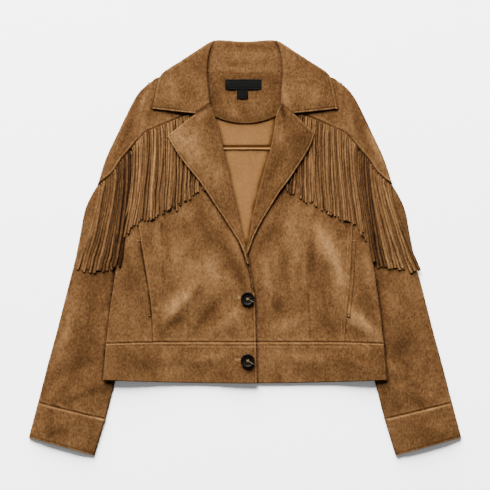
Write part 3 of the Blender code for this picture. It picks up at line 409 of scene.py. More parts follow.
def buildNapAndShadeGroup():
    # the nap: broad mottling, smaller streaks and fine grain, each panel starting somewhere else. The listed
    # nap marks, partly painted shade, are added, and the painted shading is taken off
    amounts = ("Broad", "Streaks", "Grain", "Brush", "Painted Shading")
    group, given, put = makeTree("napWithPaintedShade", "ShaderNodeTree", [(label, "Float", 1.0) for label in amounts],
                                 [("Tone", "Float"), ("Height", "Float")])
    panelStart = {0: attributeOf(group, "panel"), 1: (0.83, 0.37, 0.59), 2: objectPlace(group)}
    move = addNode(group, "ShaderNodeVectorMath", panelStart, operation="MULTIPLY_ADD")
    turned = addNode(group, "ShaderNodeMapping", {
        "Vector": move.outputs[0], "Scale": (1.0, 0.62, 1.0)}).outputs[0]
    middle = noiseNode(group, turned, 78.0, 5.0, 0.66, 0.7)
    fine = noiseNode(group, turned, 360.0, 3.0, 0.75, 0.3)
    dust = noiseNode(group, move.outputs[0], 1300.0, 2.0, 0.6)
    tone = None
    for noise, gain, label in ((noiseNode(group, turned, 22.0, 2.0, 0.5, 0.4), 1.2, "Broad"),
                               (middle, 1.8, "Streaks"), (fine, 2.7, "Grain"), (dust, 1.4, "Grain")):
        centred = mathNode(group, "MULTIPLY", mathNode(group, "SUBTRACT", noise, 0.5), gain)
        amount = mathNode(group, "MULTIPLY", centred, given[label])
        tone = mathNode(group, "ADD", tone, amount) if tone else amount
    # a nap mark, or a mark of painted shade, is broken up by the mottling under it
    mottling = mathNode(group, "MULTIPLY_ADD", middle, 1.6)
    broken = mathNode(group, "MULTIPLY", attributeOf(group, "napAndPaintedShade"), mottling)
    tone = mathNode(group, "ADD", tone, mathNode(group, "MULTIPLY", broken, given["Brush"]))
    # paintedShading is painted shade, and painted highlight where it is below nothing: darker seam lines and
    # painted shadows where cloth lies on cloth, lighter ridges and edges, darker sides of the fringe strands
    seam = mathNode(group, "MULTIPLY", attributeOf(group, "paintedShading"), given["Painted Shading"])
    group.links.new(mathNode(group, "SUBTRACT", tone, seam), put["Tone"])
    height = mathNode(group, "MULTIPLY", fine, 0.7)
    height = mathNode(group, "ADD", height, mathNode(group, "MULTIPLY", dust, 0.35))
    height = mathNode(group, "ADD", height, mathNode(group, "MULTIPLY", middle, 0.9))
    group.links.new(height, put["Height"])
    return group


def buildWeaveGroup():
    # a close over-and-under weave, for the wrong side of the suede, the labels and the thread
    threads = [("Across", "Float", 1000.0), ("Along", "Float", 1000.0)]
    group, given, put = makeTree("closeWeave", "ShaderNodeTree", threads, [("Height", "Float")])
    parts = addNode(group, "ShaderNodeSeparateXYZ", {0: objectPlace(group)}).outputs
    warp = mathNode(group, "SINE", mathNode(group, "MULTIPLY", parts[0], given["Across"]))
    weft = mathNode(group, "SINE", mathNode(group, "MULTIPLY", parts[1], given["Along"]))
    height = mathNode(group, "MULTIPLY_ADD", mathNode(group, "MULTIPLY", warp, weft), 0.5, 0.5)
    group.links.new(height, put["Height"])
    return group


def toneRamp(tree, tone, colours):
    # a tone of -2 is the ramp's start, 2 its end
    ramp = addNode(tree, "ShaderNodeValToRGB", {0: mathNode(tree, "MULTIPLY_ADD", tone, 0.25, 0.5)})
    while len(ramp.color_ramp.elements) < len(colours):
        ramp.color_ramp.elements.new(0.5)
    for element, (place, colour) in zip(ramp.color_ramp.elements, colours):
        element.position = place
        element.color = (*colour, 1.0)
    return ramp.outputs[0]


def newMaterial(name):
    material = bpy.data.materials.new(name)
    material.use_nodes = True
    return material, material.node_tree, material.node_tree.nodes["Principled BSDF"]


def bumpFrom(tree, height, strength, distance):
    return addNode(tree, "ShaderNodeBump", {
        "Strength": strength, "Distance": distance, "Height": height}).outputs[0]


def wovenHeight(tree, weave):
    threads = {"Across": weave[0], "Along": weave[1]}
    return addNode(tree, "ShaderNodeGroup", threads, node_tree=weaveGroup).outputs[0]


def buildSuede(name, colours, amounts, sheen, weave=None):
    material, tree, shader = newMaterial(name)
    nap = addNode(tree, "ShaderNodeGroup", amounts, node_tree=napAndShadeGroup).outputs
    height = nap["Height"]
    if weave:
        height = mathNode(tree, "ADD", height, mathNode(tree, "MULTIPLY", wovenHeight(tree, weave), 0.8))
    setSockets(tree, shader, {
        "Base Color": toneRamp(tree, nap["Tone"], colours), "Roughness": 0.93, "Specular IOR Level": 0.015,
        "Sheen Weight": sheen, "Sheen Roughness": 0.45, "Sheen Tint": (1.0, 0.82, 0.6, 1.0),
        "Normal": bumpFrom(tree, height, 0.55, 0.0006)})
    return material


def buildPlainWoven(name, colour, roughness, weave, distance):
    material, tree, shader = newMaterial(name)
    woven = wovenHeight(tree, weave)
    # the colour is darker where the weave is low: painted shade between the threads
    colours = (0.3, [0.45 * c for c in colour]), (0.7, colour)
    setSockets(tree, shader, {
        "Base Color": toneRamp(tree, mathNode(tree, "SUBTRACT", woven, 0.5), colours), "Roughness": roughness,
        "Specular IOR Level": 0.04, "Normal": bumpFrom(tree, woven, 0.6, distance)})
    return material


def buildHorn():
    material, tree, shader = newMaterial("buttonHorn")
    place = objectPlace(tree)
    cloud = mathNode(tree, "MULTIPLY", noiseNode(tree, place, 120.0, 4.0, 0.6, 2.0), 4.0)
    colours = (0.25, (0.0010, 0.0006, 0.0004)), (0.6, (0.0030, 0.0023, 0.0016)), (0.95, (0.018, 0.018, 0.012))
    setSockets(tree, shader, {
        "Base Color": toneRamp(tree, mathNode(tree, "SUBTRACT", cloud, 2.0), colours),
        "Roughness": 0.48, "Specular IOR Level": 0.025,
        "Normal": bumpFrom(tree, noiseNode(tree, place, 900.0, 2.0), 0.15, 0.0002)})
    return material


napAndShadeGroup, weaveGroup = buildNapAndShadeGroup(), buildWeaveGroup()
suedeColours = ((0.05, (0.0056, 0.0021, 0.0007)), (0.34, (0.0340, 0.0153, 0.0050)),
                (0.54, (0.0680, 0.0338, 0.0126)), (0.92, (0.1480, 0.0800, 0.0330)))
insideColours = ((0.1, (0.028, 0.0115, 0.0026)), (0.5, (0.092, 0.0440, 0.0150)),
                 (0.9, (0.138, 0.0710, 0.0265)))
insideAmounts = {"Broad": 0.35, "Streaks": 0.4, "Grain": 0.7, "Brush": 0.5}
threadWeave = (9000.0, 9000.0)
materials = {
    "suede": buildSuede("fauxSuede", suedeColours, {}, 0.015),
    "suedeInside": buildSuede("suedeWrongSide", insideColours, insideAmounts, 0.01, (4200.0, 4200.0)),
    "labelCloth": buildPlainWoven("labelCloth", (0.0016, 0.0016, 0.0013), 0.9, (1900.0, 5200.0), 0.0003),
    "thread": buildPlainWoven("sewingThread", (0.170, 0.088, 0.032), 0.7, threadWeave, 0.0001),
    "paleThread": buildPlainWoven("buttonThread", (0.140, 0.100, 0.056), 0.7, threadWeave, 0.0001),
    "horn": buildHorn(),
}
print("materials made")

# Cloth pieces: a grid between four edges, laid on the solids' tops, with its edges folded, cut or sewn down

nearEdge = (0.0, 0.25, 0.7, 1.3, 2.0, 2.7, 3.6, 5.0)
made = {}
pressing = {
    # what runs into a piece, and how strongly it is pressed
    "strength": {"seams": 1.0, "faintSeams": 0.5, "darts": 0.6, "softSeams": 0.12},
    "dip": 0.52,
    "dipWide": 1.5,
    "pucker": 0.28,
    "puckerWide": 5.0,
    "puckerAt": 4.0,           # from the seam
    # painted shade along a seam's dip, and a painted highlight beside it on the pucker
    "dark": 0.55,
    "light": 0.25,
    "lightAt": 3.4,
    "lightWide": 1.6,
    "ridgeLight": 1.5,
}
noMarks = {kind: () for kind in [*pressing["strength"], "shadows", "ridges", "folds", "edges"]}


def stationsFor(length, step):
    first = [d / length for d in nearEdge if d < 0.4 * length]
    middle = np.linspace(first[-1], 1 - first[-1], max(2, round((1 - 2 * first[-1]) * length / step)) + 1)
    return np.array(first[:-1] + list(middle) + [1 - share for share in reversed(first[:-1])])


def pinned(run, start, end):
    share = (lengthsAlong(run) / lengthsAlong(run)[-1])[:, None]
    return run + (1 - share) * (start - run[0]) + share * (end - run[-1])


def clothGrid(left, right, top, bottom, across, down):
    top, bottom = pinned(top, left[0], right[0]), pinned(bottom, left[-1], right[-1])
    u, v = across[None, :, None], down[:, None, None]
    l, r = pointsAt(left, down)[:, None], pointsAt(right, down)[:, None]
    t, b = pointsAt(top, across)[None], pointsAt(bottom, across)[None]
    corners = ((1 - u) * (1 - v) * left[0] + u * (1 - v) * right[0]
               + (1 - u) * v * left[-1] + u * v * right[-1])
    return (1 - u) * l + u * r + (1 - v) * t + v * b - corners


def facedFor(side, outer, inner, top, bottom):
    # runs go down the sides and from the outer side inwards. The right half is turned to face up
    return (inner, outer, top[::-1], bottom[::-1]) if side == "right" else (outer, inner, top, bottom)


def between(top, bottom):
    return straight(top[0], bottom[0]), straight(top[-1], bottom[-1]), top, bottom


def ringOf(index):
    return np.concatenate([index[0, :-1], index[:-1, -1], index[-1, :0:-1], index[:0:-1, 0]])


def gridNormals(points):
    normal = np.cross(np.gradient(points, axis=0), np.gradient(points, axis=1))
    return normal / np.maximum(np.linalg.norm(normal, axis=-1), 1e-9)[..., None]


def cutSize(outline):
    # the sides of the smallest rectangle of cloth that the piece can be cut from
    best = None
    for turn in np.radians(range(0, 90, 3)):
        sides = (np.ptp(outline[:, 0] * math.cos(turn) + outline[:, 1] * math.sin(turn)),
                 np.ptp(outline[:, 1] * math.cos(turn) - outline[:, 0] * math.sin(turn)))
        if best is None or sides[0] * sides[1] < best[0] * best[1]:
            best = sides
    return best


def rounded(z, away, radius):
    inside = np.clip(1 - away / radius, 0, 1)
    z -= radius * (1 - np.sqrt(np.maximum(1 - inside**2, 0)))


def pressed(name, places, resting, thick, marks):
    # how high the cloth is, how low its walls reach, how much painted shade and painted highlight its colour
    # takes, and how far away the seams are
    z, lowest, shade = resting.copy(), resting - thick, np.zeros(len(places))
    nearSeam = np.full(len(places), 99.0)
    slant = places[:, 1] * 0.8 + places[:, 0] * 0.6
    floorClear, number = cloth["floorClear"], 0
    for kind, strength in pressing["strength"].items():
        for run in marks[kind]:
            away = distanceTo(run, places)
            if kind != "darts":
                nearSeam = np.minimum(nearSeam, away)
            pucker = pressing["pucker"] * wobble(slant, f"{name}{number}", 7.0, 19.0)
            uneven = 1 + 0.35 * wobble(slant, f"{name}shade{number}", 16.0, 60.0)
            z -= strength * pressing["dip"] * bell(away, pressing["dipWide"])
            z += strength * pucker * bell(away - pressing["puckerAt"], pressing["puckerWide"])
            # painted shade in the seam's dip, and a painted highlight on the pucker beside it
            shade += strength * pressing["dark"] * uneven * bell(away, pressing["dipWide"])
            shade -= strength * pressing["light"] * bell(away - pressing["lightAt"], pressing["lightWide"])
            number += 1
    for run, width, amount, sink in marks["shadows"]:
        # a painted shadow, a darker line, where other cloth lies against this one, and the cloth sinks a little
        # there
        away = distanceTo(run, places)
        uneven = 1 + 0.3 * wobble(slant, f"{name}shadow{width}", 18.0, 70.0)
        shade += amount * uneven * bell(away, width)
        z -= sink * bell(away, width)
    for run, offset, width, height in marks["ridges"]:
        # a ridge is raised and painted lighter, a painted highlight, and a furrow, whose height is below
        # nothing, is sunk and painted darker, a painted shade
        uneven = 1 + 0.5 * wobble(slant, f"{name}ridge{offset}", 20.0, 90.0)
        ridge = height * uneven * bell(distanceTo(run, places) - offset, width)
        z += ridge
        shade -= pressing["ridgeLight"] * ridge
    for run, drop, radius in marks["folds"]:
        # a fold without a drop reaches the floor. It is tighter beside a seam
        away = distanceTo(run, places)
        foot = np.maximum(floorClear, resting - (np.inf if drop is None else drop))
        rounded(z, away, np.minimum(radius, np.maximum(0.75 * (resting - foot), 0.3))
                * np.clip(0.35 + nearSeam / 8, 0, 1))
        near = away < cloth["onLine"]
        lowest[near] = np.minimum(lowest[near], foot[near])
    for run, drop in marks["edges"]:
        away, inset = distanceTo(run, places), cloth["stitchInset"]
        rounded(z, away, cloth["edgeRadius"])
        z -= cloth["stitchFurrow"] * bell(away - inset, cloth["stitchFurrowWide"])
        wave = wobble(places[:, 1] * 0.7 + places[:, 0] * 0.7, f"{name}edge", 9.0, 24.0)
        z += cloth["edgeWave"] * wave * bell(away, 6.0)
        # painted shade just inside the topstitching, and a painted highlight along the edge itself
        shade += 0.4 * bell(away - inset - 1.2, 0.9) - 0.45 * bell(away, 1.5)
        near = away < cloth["onLine"]
        lowest[near] = np.minimum(lowest[near], resting[near] - drop)
    return np.maximum(z, floorClear), lowest, shade, nearSeam


def wallInsets(line, rows, columns, thick):
    # which way is inwards all round the outline, and how far the wall can step in there
    following = np.roll(line, -1, axis=0)
    ahead = following - np.roll(line, 1, axis=0)
    ahead /= np.maximum(np.linalg.norm(ahead, axis=1), 1e-9)[:, None]
    turning = np.sign((line[:, 0] * following[:, 1] - following[:, 0] * line[:, 1]).sum())
    travelled = np.concatenate([[0], np.cumsum(np.linalg.norm(following - line, axis=1))])
    corners = travelled[[0, columns - 1, columns + rows - 2, 2 * columns + rows - 3, -1]]
    fromCorner = np.abs(travelled[:-1, None] - corners[None]).min(1)
    inwards = turning * np.column_stack([-ahead[:, 1], ahead[:, 0]])
    return inwards, np.minimum(thick, 0.25 + 0.7 * fromCorner)[:, None]


def nodeFor(name):
    # frontYokeLeft stands for front_yoke_left
    return "".join("_" + letter.lower() if letter.isupper() else letter for letter in name)


def named(stem, side):
    return stem + side.capitalize()


def clothPiece(name, sides, heights, layer, thick=cloth["suede"], step=cloth["step"], lift=0.0,
               upper="suede", lower="suedeInside", restsOn=(), **marks):
    # a closed shell: the pressed upper side, a lower side under it, and walls down to what it lies on
    marks = {**noMarks, **marks}
    left, right, top, bottom = sides
    wide = max(lengthsAlong(top)[-1], lengthsAlong(bottom)[-1])
    tall = max(lengthsAlong(left)[-1], lengthsAlong(right)[-1])
    grid = clothGrid(left, right, top, bottom, stationsFor(wide, step), stationsFor(tall, step))
    rows, columns = grid.shape[:2]
    places, count = grid.reshape(-1, 2), rows * columns
    index = np.arange(count).reshape(rows, columns)
    ring = ringOf(index)
    resting = heightAt(heights, places) + lift
    if layer:
        resting = resting + creaseLift(layer, places)
    z, lowest, shade, nearSeam = pressed(name, places, resting, thick, marks)
    outer = np.column_stack([places, z]).reshape(rows, columns, 3)
    inner = outer - thick * gridNormals(outer)
    inner[..., 2] = np.maximum(inner[..., 2], 0.0)

    line = places[ring]
    inwards, inset = wallInsets(line, rows, columns, thick)
    flat = outer.reshape(-1, 3)
    sewn = nearSeam[ring] < cloth["onLine"]
    flat[ring[sewn], :2] += cloth["softSeamGap" if marks["softSeams"] else "seamGap"] * inwards[sewn]
    rim, edgeZ = flat[ring, :2], flat[ring, 2]
    low = np.maximum(np.minimum(lowest[ring], edgeZ - 0.5 * thick), 0.0)
    upperWall = np.column_stack([rim, low + np.minimum(0.45, 0.3 * (edgeZ - low))])
    lowerWall = np.column_stack([rim + 0.3 * inset * inwards, low])
    innerWall = np.column_stack([rim + inset * inwards, low + 0.12])
    points = np.vstack([flat, upperWall, lowerWall, innerWall, inner.reshape(-1, 3)])

    wall = len(ring)
    front = np.column_stack([index[:-1, :-1].ravel(), index[1:, :-1].ravel(),
                             index[1:, 1:].ravel(), index[:-1, 1:].ravel()])
    back = front[:, ::-1] + count + 3 * wall
    loops = [ring] + [count + k * wall + np.arange(wall) for k in range(3)] + [ring + count + 3 * wall]
    walls = [np.column_stack([above, np.roll(above, -1), np.roll(below, -1), below])
             for above, below in zip(loops, loops[1:])]
    faces = np.vstack([front, *walls, back])
    mesh = bpy.data.meshes.new(name)
    mesh.from_pydata(toFrame(points).tolist(), [], faces.tolist())
    mesh.materials.append(materials[upper])
    mesh.materials.append(materials[lower])
    onUpper = len(front) + 2 * wall
    mesh.polygons.foreach_set("material_index", (np.arange(len(faces)) >= onUpper).astype(np.int32))
    # the nap marks, partly painted shade, and the painted shading are kept on the points for the suede's colour
    tone = napAndShadeTone(layer, places) + layerTone[layer] if layer else np.zeros(count)
    columnsOf = {label: np.concatenate([values, *3 * [values[ring]], values])
                 for label, values in (("paintedShading", shade), ("napAndPaintedShade", tone))}
    columnsOf["panel"] = np.full(len(points), random.Random(name).uniform(0, 9))
    for label, values in columnsOf.items():
        mesh.attributes.new(label, "FLOAT", "POINT").data.foreach_set("value", values.astype(np.float32))
    mesh.shade_smooth()
    mesh.update()
    piece = addObject(name, mesh)

    turned = np.linalg.norm(flat[ring] - upperWall, axis=1).mean()
    wide, tall = (max(extent + 2 * turned, cloth["narrowest"]) for extent in cutSize(line))
    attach(piece, "root")
    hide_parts(nodeFor(name))
    made[name] = points, faces


floorRest = ["studioFloor"]
floorReach = 4.0
floorMesh = bpy.data.meshes.new("studioFloor")
floorCorners = [(-floorReach, -floorReach, 0), (floorReach, -floorReach, 0),
                (floorReach, floorReach, 0), (-floorReach, floorReach, 0)]
floorMesh.from_pydata(floorCorners, [], [(0, 1, 2, 3)])
paper, paperTree, paperShader = newMaterial("studioPaper")
paperTone = mathNode(paperTree, "SUBTRACT", noiseNode(paperTree, objectPlace(paperTree), 3.0, 2.0), 0.5)
setSockets(paperTree, paperShader, {
    "Base Color": toneRamp(paperTree, paperTone, ((0.2, (0.86, 0.86, 0.86)), (0.8, (0.9, 0.9, 0.9)))),
    "Roughness": 0.9, "Emission Color": (1.0, 1.0, 1.0, 1.0), "Emission Strength": 0.05})
floorMesh.materials.append(paper)
addObject("studioFloor", floorMesh)

# The body's own lines, from which several pieces are cut

body = {
    "shoulder": (-147.0, 267.5),
    "yokeCorner": (-172.0, 171.0),
    "neckPoint": (-67.0, 296.0),
    "yokeNeck": (-56.5, 230.0),
    "bandSeamY": -152.0,
    "hemCorner": (-227.0, -213.0),
    "hemMiddleY": -218.5,
    "neckSeamY": 277.0,
    "collarTopY": 328.0,
    "facingDepth": 79.5,
    "backSeamY": 162.0,
    "underlap": -16.0,
    "leftBandEdge": 19.5,
}
bodyCrease = (
    body["yokeCorner"], (-184.0, 145.0), (-191.5, 121.0), (-196.0, 92.0), (-200.5, 55.0), (-203.0, 15.0),
    (-204.5, -18.0), (-208.5, -50.0), (-215.0, -95.0), (-222.0, body["bandSeamY"] - 2.0),
)
yokeSeam = (body["yokeCorner"], (-160.0, 183.5), (-141.0, 192.5), (-122.0, 201.0), (-92.0, 213.5),
            body["yokeNeck"])
sleeveSeam = (body["yokeCorner"], (-184.5, 156.0), (-197.5, 141.0), (-212.5, 119.0), (-236.0, 100.0))
sleeveHeadEdge = (body["shoulder"], (-158.5, 259.5), (-169.5, 248.5), (-180.5, 231.5), (-201.5, 188.5),
                  (-223.0, 141.5), sleeveSeam[-1])
pocketSeams = {
    "left": ((-186.5, 119.0), (-178.0, 72.0), (-170.5, 30.0), (-163.5, -12.0), (-155.5, -60.0),
             (-150.0, -105.0), (-147.5, body["bandSeamY"])),
    "right": ((186.5, 119.0), (179.0, 72.0), (173.0, 30.0), (170.5, -12.0), (167.5, -60.0), (163.0, -105.0),
              (160.0, body["bandSeamY"])),
}
frontEdges = {
    "left": (body["yokeNeck"], (-48.5, 209.0), (-41.5, 188.0), (-35.0, 160.0), (-24.0, 114.0), (-13.0, 66.0),
             (-3.2, 19.0), (7.0, -26.0), (13.0, -55.0), (16.0, -88.0), (17.5, body["bandSeamY"])),
    "right": ((57.5, 228.0), (50.5, 212.0), (45.5, 180.0), (40.5, 156.0), (27.0, 110.0), (14.0, 56.0),
              (5.0, 5.0), (-8.0, -30.0), (-14.0, -60.0), (body["underlap"], -95.0),
              (body["underlap"], body["bandSeamY"])),
}


def hemRun(startX, endX):
    x = np.linspace(startX, endX, 60)
    dip = 1 - (x / body["hemCorner"][0]) ** 2
    return np.column_stack([x, body["hemCorner"][1] + (body["hemMiddleY"] - body["hemCorner"][1]) * dip])


# Collar leaves and lapels: their lines, which also mark the cloth under them

collar = {
    "point": (-148.0, 221.0),
    "edge": ((-144.0, 240.0), (-139.0, 264.0), (-134.5, 275.5)),
    "shoulder": (-124.5, 284.8),
    "over": ((-105.0, 297.0), (-76.0, 316.0), (-59.0, 327.4)),
    "top": (-48.5, 332.0),
    "roll": ((-52.5, 323.5), (-57.5, 307.0), (-60.5, 281.0), (-58.5, 252.0)),
}
lapels = {
    "left": {"notch": (-78.5, 213.0), "point": (-124.5, 177.0),
             "edge": ((-102.0, 141.0), (-71.0, 102.0), (-44.0, 61.5), (-24.5, 32.0), (-6.5, 2.0))},
    "right": {"notch": (77.5, 213.5), "point": (112.0, 181.0),
              "edge": ((101.0, 155.0), (73.5, 112.0), (55.0, 87.0), (39.0, 61.0), (23.5, 35.0), (13.5, 14.0),
                       (7.5, -3.0))},
    "tip": 3.5,
    "rollDrop": 4.2,
    "rollRadius": 2.6,
    "edgeDrop": 2.5,
    "raised": 0.7,
    "edgeSink": 0.8,           # the free edges curl down by this
}


def leafAndLapel(side):
    lapel = lapels[side]
    lines = {
        "gorge": straight(lapel["notch"], frontEdges[side][0]),
        "over": runFor(side, [collar["shoulder"], *collar["over"], collar["top"]]),
        "roll": smoothRun(mirrored([collar["top"], *collar["roll"]], side) + [frontEdges[side][0]]),
        "outer": runFor(side, [collar["shoulder"], *collar["edge"][::-1], collar["point"]]),
        "inner": smoothRun(frontEdges[side][:8]),
    }
    lines["lower"] = straight(lines["outer"][-1], lapel["notch"])
    tip = lines["inner"][-1] + (-signOf(side) * lapels["tip"], -1.0)
    lines["lapelEdge"] = smoothRun([lapel["point"], *lapel["edge"], tip])
    lines["lapelTop"] = straight(lapel["point"], lapel["notch"])
    return lines


leafLines = {side: leafAndLapel(side) for side in ("left", "right")}

# Sleeves and cuffs

sleeve = {
    "rows": (
        # outer x, outer y, inner x, inner y
        (-247.5, 81.0, -172.0, 118.0),
        (-257.5, 57.0, -178.0, 66.0),
        (-264.5, 20.0, -172.0, 34.0),
        (-272.5, -20.0, -153.0, -12.0),
        (-281.0, -53.0, -157.0, -51.0),
        (-291.0, -92.0, -175.0, -108.0),
        (-303.0, -139.0, -194.0, -168.0),
        (-317.5, -192.0, -209.0, -219.0),
        (-332.0, -249.0, -223.5, -275.5),
    ),
    "tuck": (-160.0, 176.0),
    "underHead": ((-141.0, 258.0), (-150.0, 215.0)),
    "fringeGap": ((-200.0, 96.0), (-205.0, 55.0), (-206.5, 15.0), (-208.0, -22.0)),
    "cuffEnd": (-347.0, -305.0, -241.5, -334.5),
    "underInset": 3.4,
    "foldRadius": 3.4,
    "cuffEndRise": 2.4,
}


def makeSleeve(side):
    outerPoints, innerPoints = [row[:2] for row in sleeve["rows"]], [row[2:] for row in sleeve["rows"]]
    outer, inner = runFor(side, [sleeveSeam[-1], *outerPoints]), runFor(side, [sleeve["tuck"], *innerPoints])
    cuffOuter = runFor(side, [outerPoints[-1], sleeve["cuffEnd"][:2]])
    cuffInner = runFor(side, [innerPoints[-1], sleeve["cuffEnd"][2:]])
    seam, end = straight(outer[-1], inner[-1]), straight(cuffOuter[-1], cuffInner[-1])

    inset = signOf(side) * sleeve["underInset"]
    underOuter = sideways(runFor(side, [*sleeveHeadEdge, *outerPoints]), inset)
    underInner = sideways(runFor(side, [*sleeve["underHead"], sleeve["tuck"], *innerPoints]), -inset)
    cuffUnderOuter, cuffUnderInner = sideways(cuffOuter, inset), sideways(cuffInner, -inset)
    cuffUnderOuter[0], cuffUnderInner[0] = underOuter[-1], underInner[-1]
    underSeam = straight(underOuter[-1], underInner[-1])
    underEnd = straight(cuffUnderOuter[-1], cuffUnderInner[-1])
    heights = heightsOf([f"sleeve_under_{side}", f"cuff_under_{side}"], 4.0, 8.0)
    hidden = {"step": cloth["hiddenStep"], "softSeams": [underSeam], "lower": "suede", "restsOn": floorRest}
    clothPiece(named("sleeveUnder", side),
               facedFor(side, underOuter, underInner, straight(underOuter[0], underInner[0]), underSeam),
               heights, None, thick=cloth["onTheFloor"], upper="suedeInside", **hidden)
    clothPiece(named("cuffUnder", side), facedFor(side, cuffUnderOuter, cuffUnderInner, underSeam, underEnd),
               heights, None, thick=cloth["doubledOnFloor"], edges=[(underEnd, 2.2)], **hidden)

    head = smoothRun([outer[0], *mirrored(sleeveSeam[-2::-1], side), inner[0]])
    heights = heightsOf([f"sleeve_top_{side}", f"cuff_top_{side}"])
    beside, gap = runFor(side, [*bodyCrease, body["hemCorner"]]), runFor(side, sleeve["fringeGap"])
    clothPiece(named("sleeveTop", side), facedFor(side, outer, inner, head, seam), heights, "sleeve",
               folds=[(run, None, sleeve["foldRadius"]) for run in (outer, inner)], seams=[seam],
               shadows=[(beside, 3.4, 1.0, 0.4), (gap, 5.5, 1.3, 0.0)], restsOn=[named("sleeveUnder", side)])
    clothPiece(named("cuffTop", side), facedFor(side, cuffOuter, cuffInner, seam, end), heights, "sleeve",
               folds=[(run, None, sleeve["foldRadius"]) for run in (cuffOuter, cuffInner)], seams=[seam],
               edges=[(end, sleeve["cuffEndRise"])], ridges=[(seam, 3.2, 1.6, 0.3)], thick=cloth["doubled"],
               lower="suede", restsOn=[named("cuffUnder", side)])
    return seam


cuffSeams = {side: makeSleeve(side) for side in ("left", "right")}
print("sleeves made")

# Back: yoke, panel and band, seen inside the neck and from below

backSizes = {
    "inset": 3.5,
    "shoulderInset": 6.0,
    "thick": 1.5,
    "neckHalf": ((-104.0, 278.0), (-66.0, 286.0), (-34.0, 279.0)),
    "slot": ((-35.0, -1.3), (39.0, -1.1)),   # the gap under the seam: x, and y from the seam
    "slotShade": (2.1, 4.2, 0.8),
    "allowanceHalf": 62.0,
    "allowanceTop": 3.0,       # below the seam
    "allowanceDeep": 3.0,
    "allowanceThick": 0.9,
    "fallInset": 8.8,
    "fallHalf": ((-96.0, 262.0), (-50.0, 251.0)),
    "fallBottomY": 248.0,
}


def makeBack():
    inset, seamY = backSizes["inset"], body["backSeamY"]
    runs, shoulders = {}, {}
    for side in ("left", "right"):
        crease = sideways(runFor(side, bodyCrease), signOf(side) * inset)
        runs[side] = crease[np.argmin(np.abs(crease[:, 1] - (seamY - 2.0))):]
        shoulder = runFor(side, [body["shoulder"], body["yokeCorner"]])
        shoulder = sideways(shoulder, signOf(side) * backSizes["shoulderInset"])
        shoulders[side] = np.vstack([shoulder[:-2], runs[side][:1]])
    seam = smoothRun([runs["left"][0], (0.0, seamY - 2.0), runs["right"][0]])
    neck = acrossMiddle(backSizes["neckHalf"], body["neckSeamY"] - 1.0)
    top = smoothRun([shoulders["left"][0], *neck, shoulders["right"][0]])
    bandTop = smoothRun([runs["left"][-1], (0.0, body["bandSeamY"] + 1.0), runs["right"][-1]])
    hem = hemRun(body["hemCorner"][0] + inset, -body["hemCorner"][0] - inset)
    heights = heightsOf(["back_yoke", "back_panel", "back_band"])
    slot = smoothRun([(x, seamY + y) for x, y in backSizes["slot"]])
    inside = {
        "upper": "suedeInside", "lower": "suede", "thick": backSizes["thick"], "step": cloth["insideStep"],
        "restsOn": floorRest,
        "shadows": [(slot, *backSizes["slotShade"]), (leafLines["left"]["inner"], 3.2, 0.8, 0.0),
                    (leafLines["right"]["inner"], 4.6, 1.7, 0.0)],
    }
    clothPiece("backYoke", (shoulders["left"], shoulders["right"], top, seam), heights, "inside",
               softSeams=[seam], **inside)
    clothPiece("backPanel", (runs["left"], runs["right"], seam, bandTop), heights, "inside",
               softSeams=[seam, bandTop], **inside)
    clothPiece("backBand", between(bandTop, hem), heights, None, softSeams=[bandTop], edges=[(hem, 2.2)],
               thick=cloth["doubledOnFloor"], step=cloth["hiddenStep"], lower="suede", restsOn=floorRest)
    # the allowance is folded down inside, so its upper edge stands a little off the seam
    wide, y = backSizes["allowanceHalf"], seamY - backSizes["allowanceTop"]
    upperEdge = straight((-wide, y), (wide, y))
    lowerEdge = upperEdge - (0.0, backSizes["allowanceDeep"])
    heights = heightsOf(["back_seam_allowance"], 1.5, 2.5)
    clothPiece("backSeamAllowance", between(upperEdge, lowerEdge), heights, "inside",
               folds=[(upperEdge, 1.3, 0.8)], edges=[(lowerEdge, 0.9)],
               thick=backSizes["allowanceThick"], upper="suedeInside", restsOn=["backPanel"])


def makeCollarFall():
    outline = acrossMiddle([collar["shoulder"], *collar["over"][:2], collar["top"]], body["collarTopY"])
    top = partOf(sideways(smoothRun(outline), -backSizes["fallInset"]), 0.0, 1.0)
    low = acrossMiddle(backSizes["fallHalf"], backSizes["fallBottomY"])
    bottom = smoothRun([top[0] + (-1.0, -9.0), *low, top[-1] + (1.0, -9.0)])
    clothPiece("collarFall", between(top, bottom), heightsOf(["collar_fall"], 3.0, 6.0), None,
               thick=cloth["doubledOnFloor"], step=cloth["hiddenStep"], edges=[(bottom, 2.2)], lower="suede",
               restsOn=floorRest)


neck = {
    # x, and y from the neck seam, from its lowest line or from the collar's top
    "seamHalf": ((-62.0, 3.5), (-32.0, 0.8)),
    "lowerHalf": ((-63.5, 20.0), (-36.0, 6.0)),
    "topHalf": ((-50.5, 2.8), (-42.0, 4.2), (-26.0, 3.4)),
    "topMiddle": 1.6,
    "standSide": (-60.5, 308.0),
}


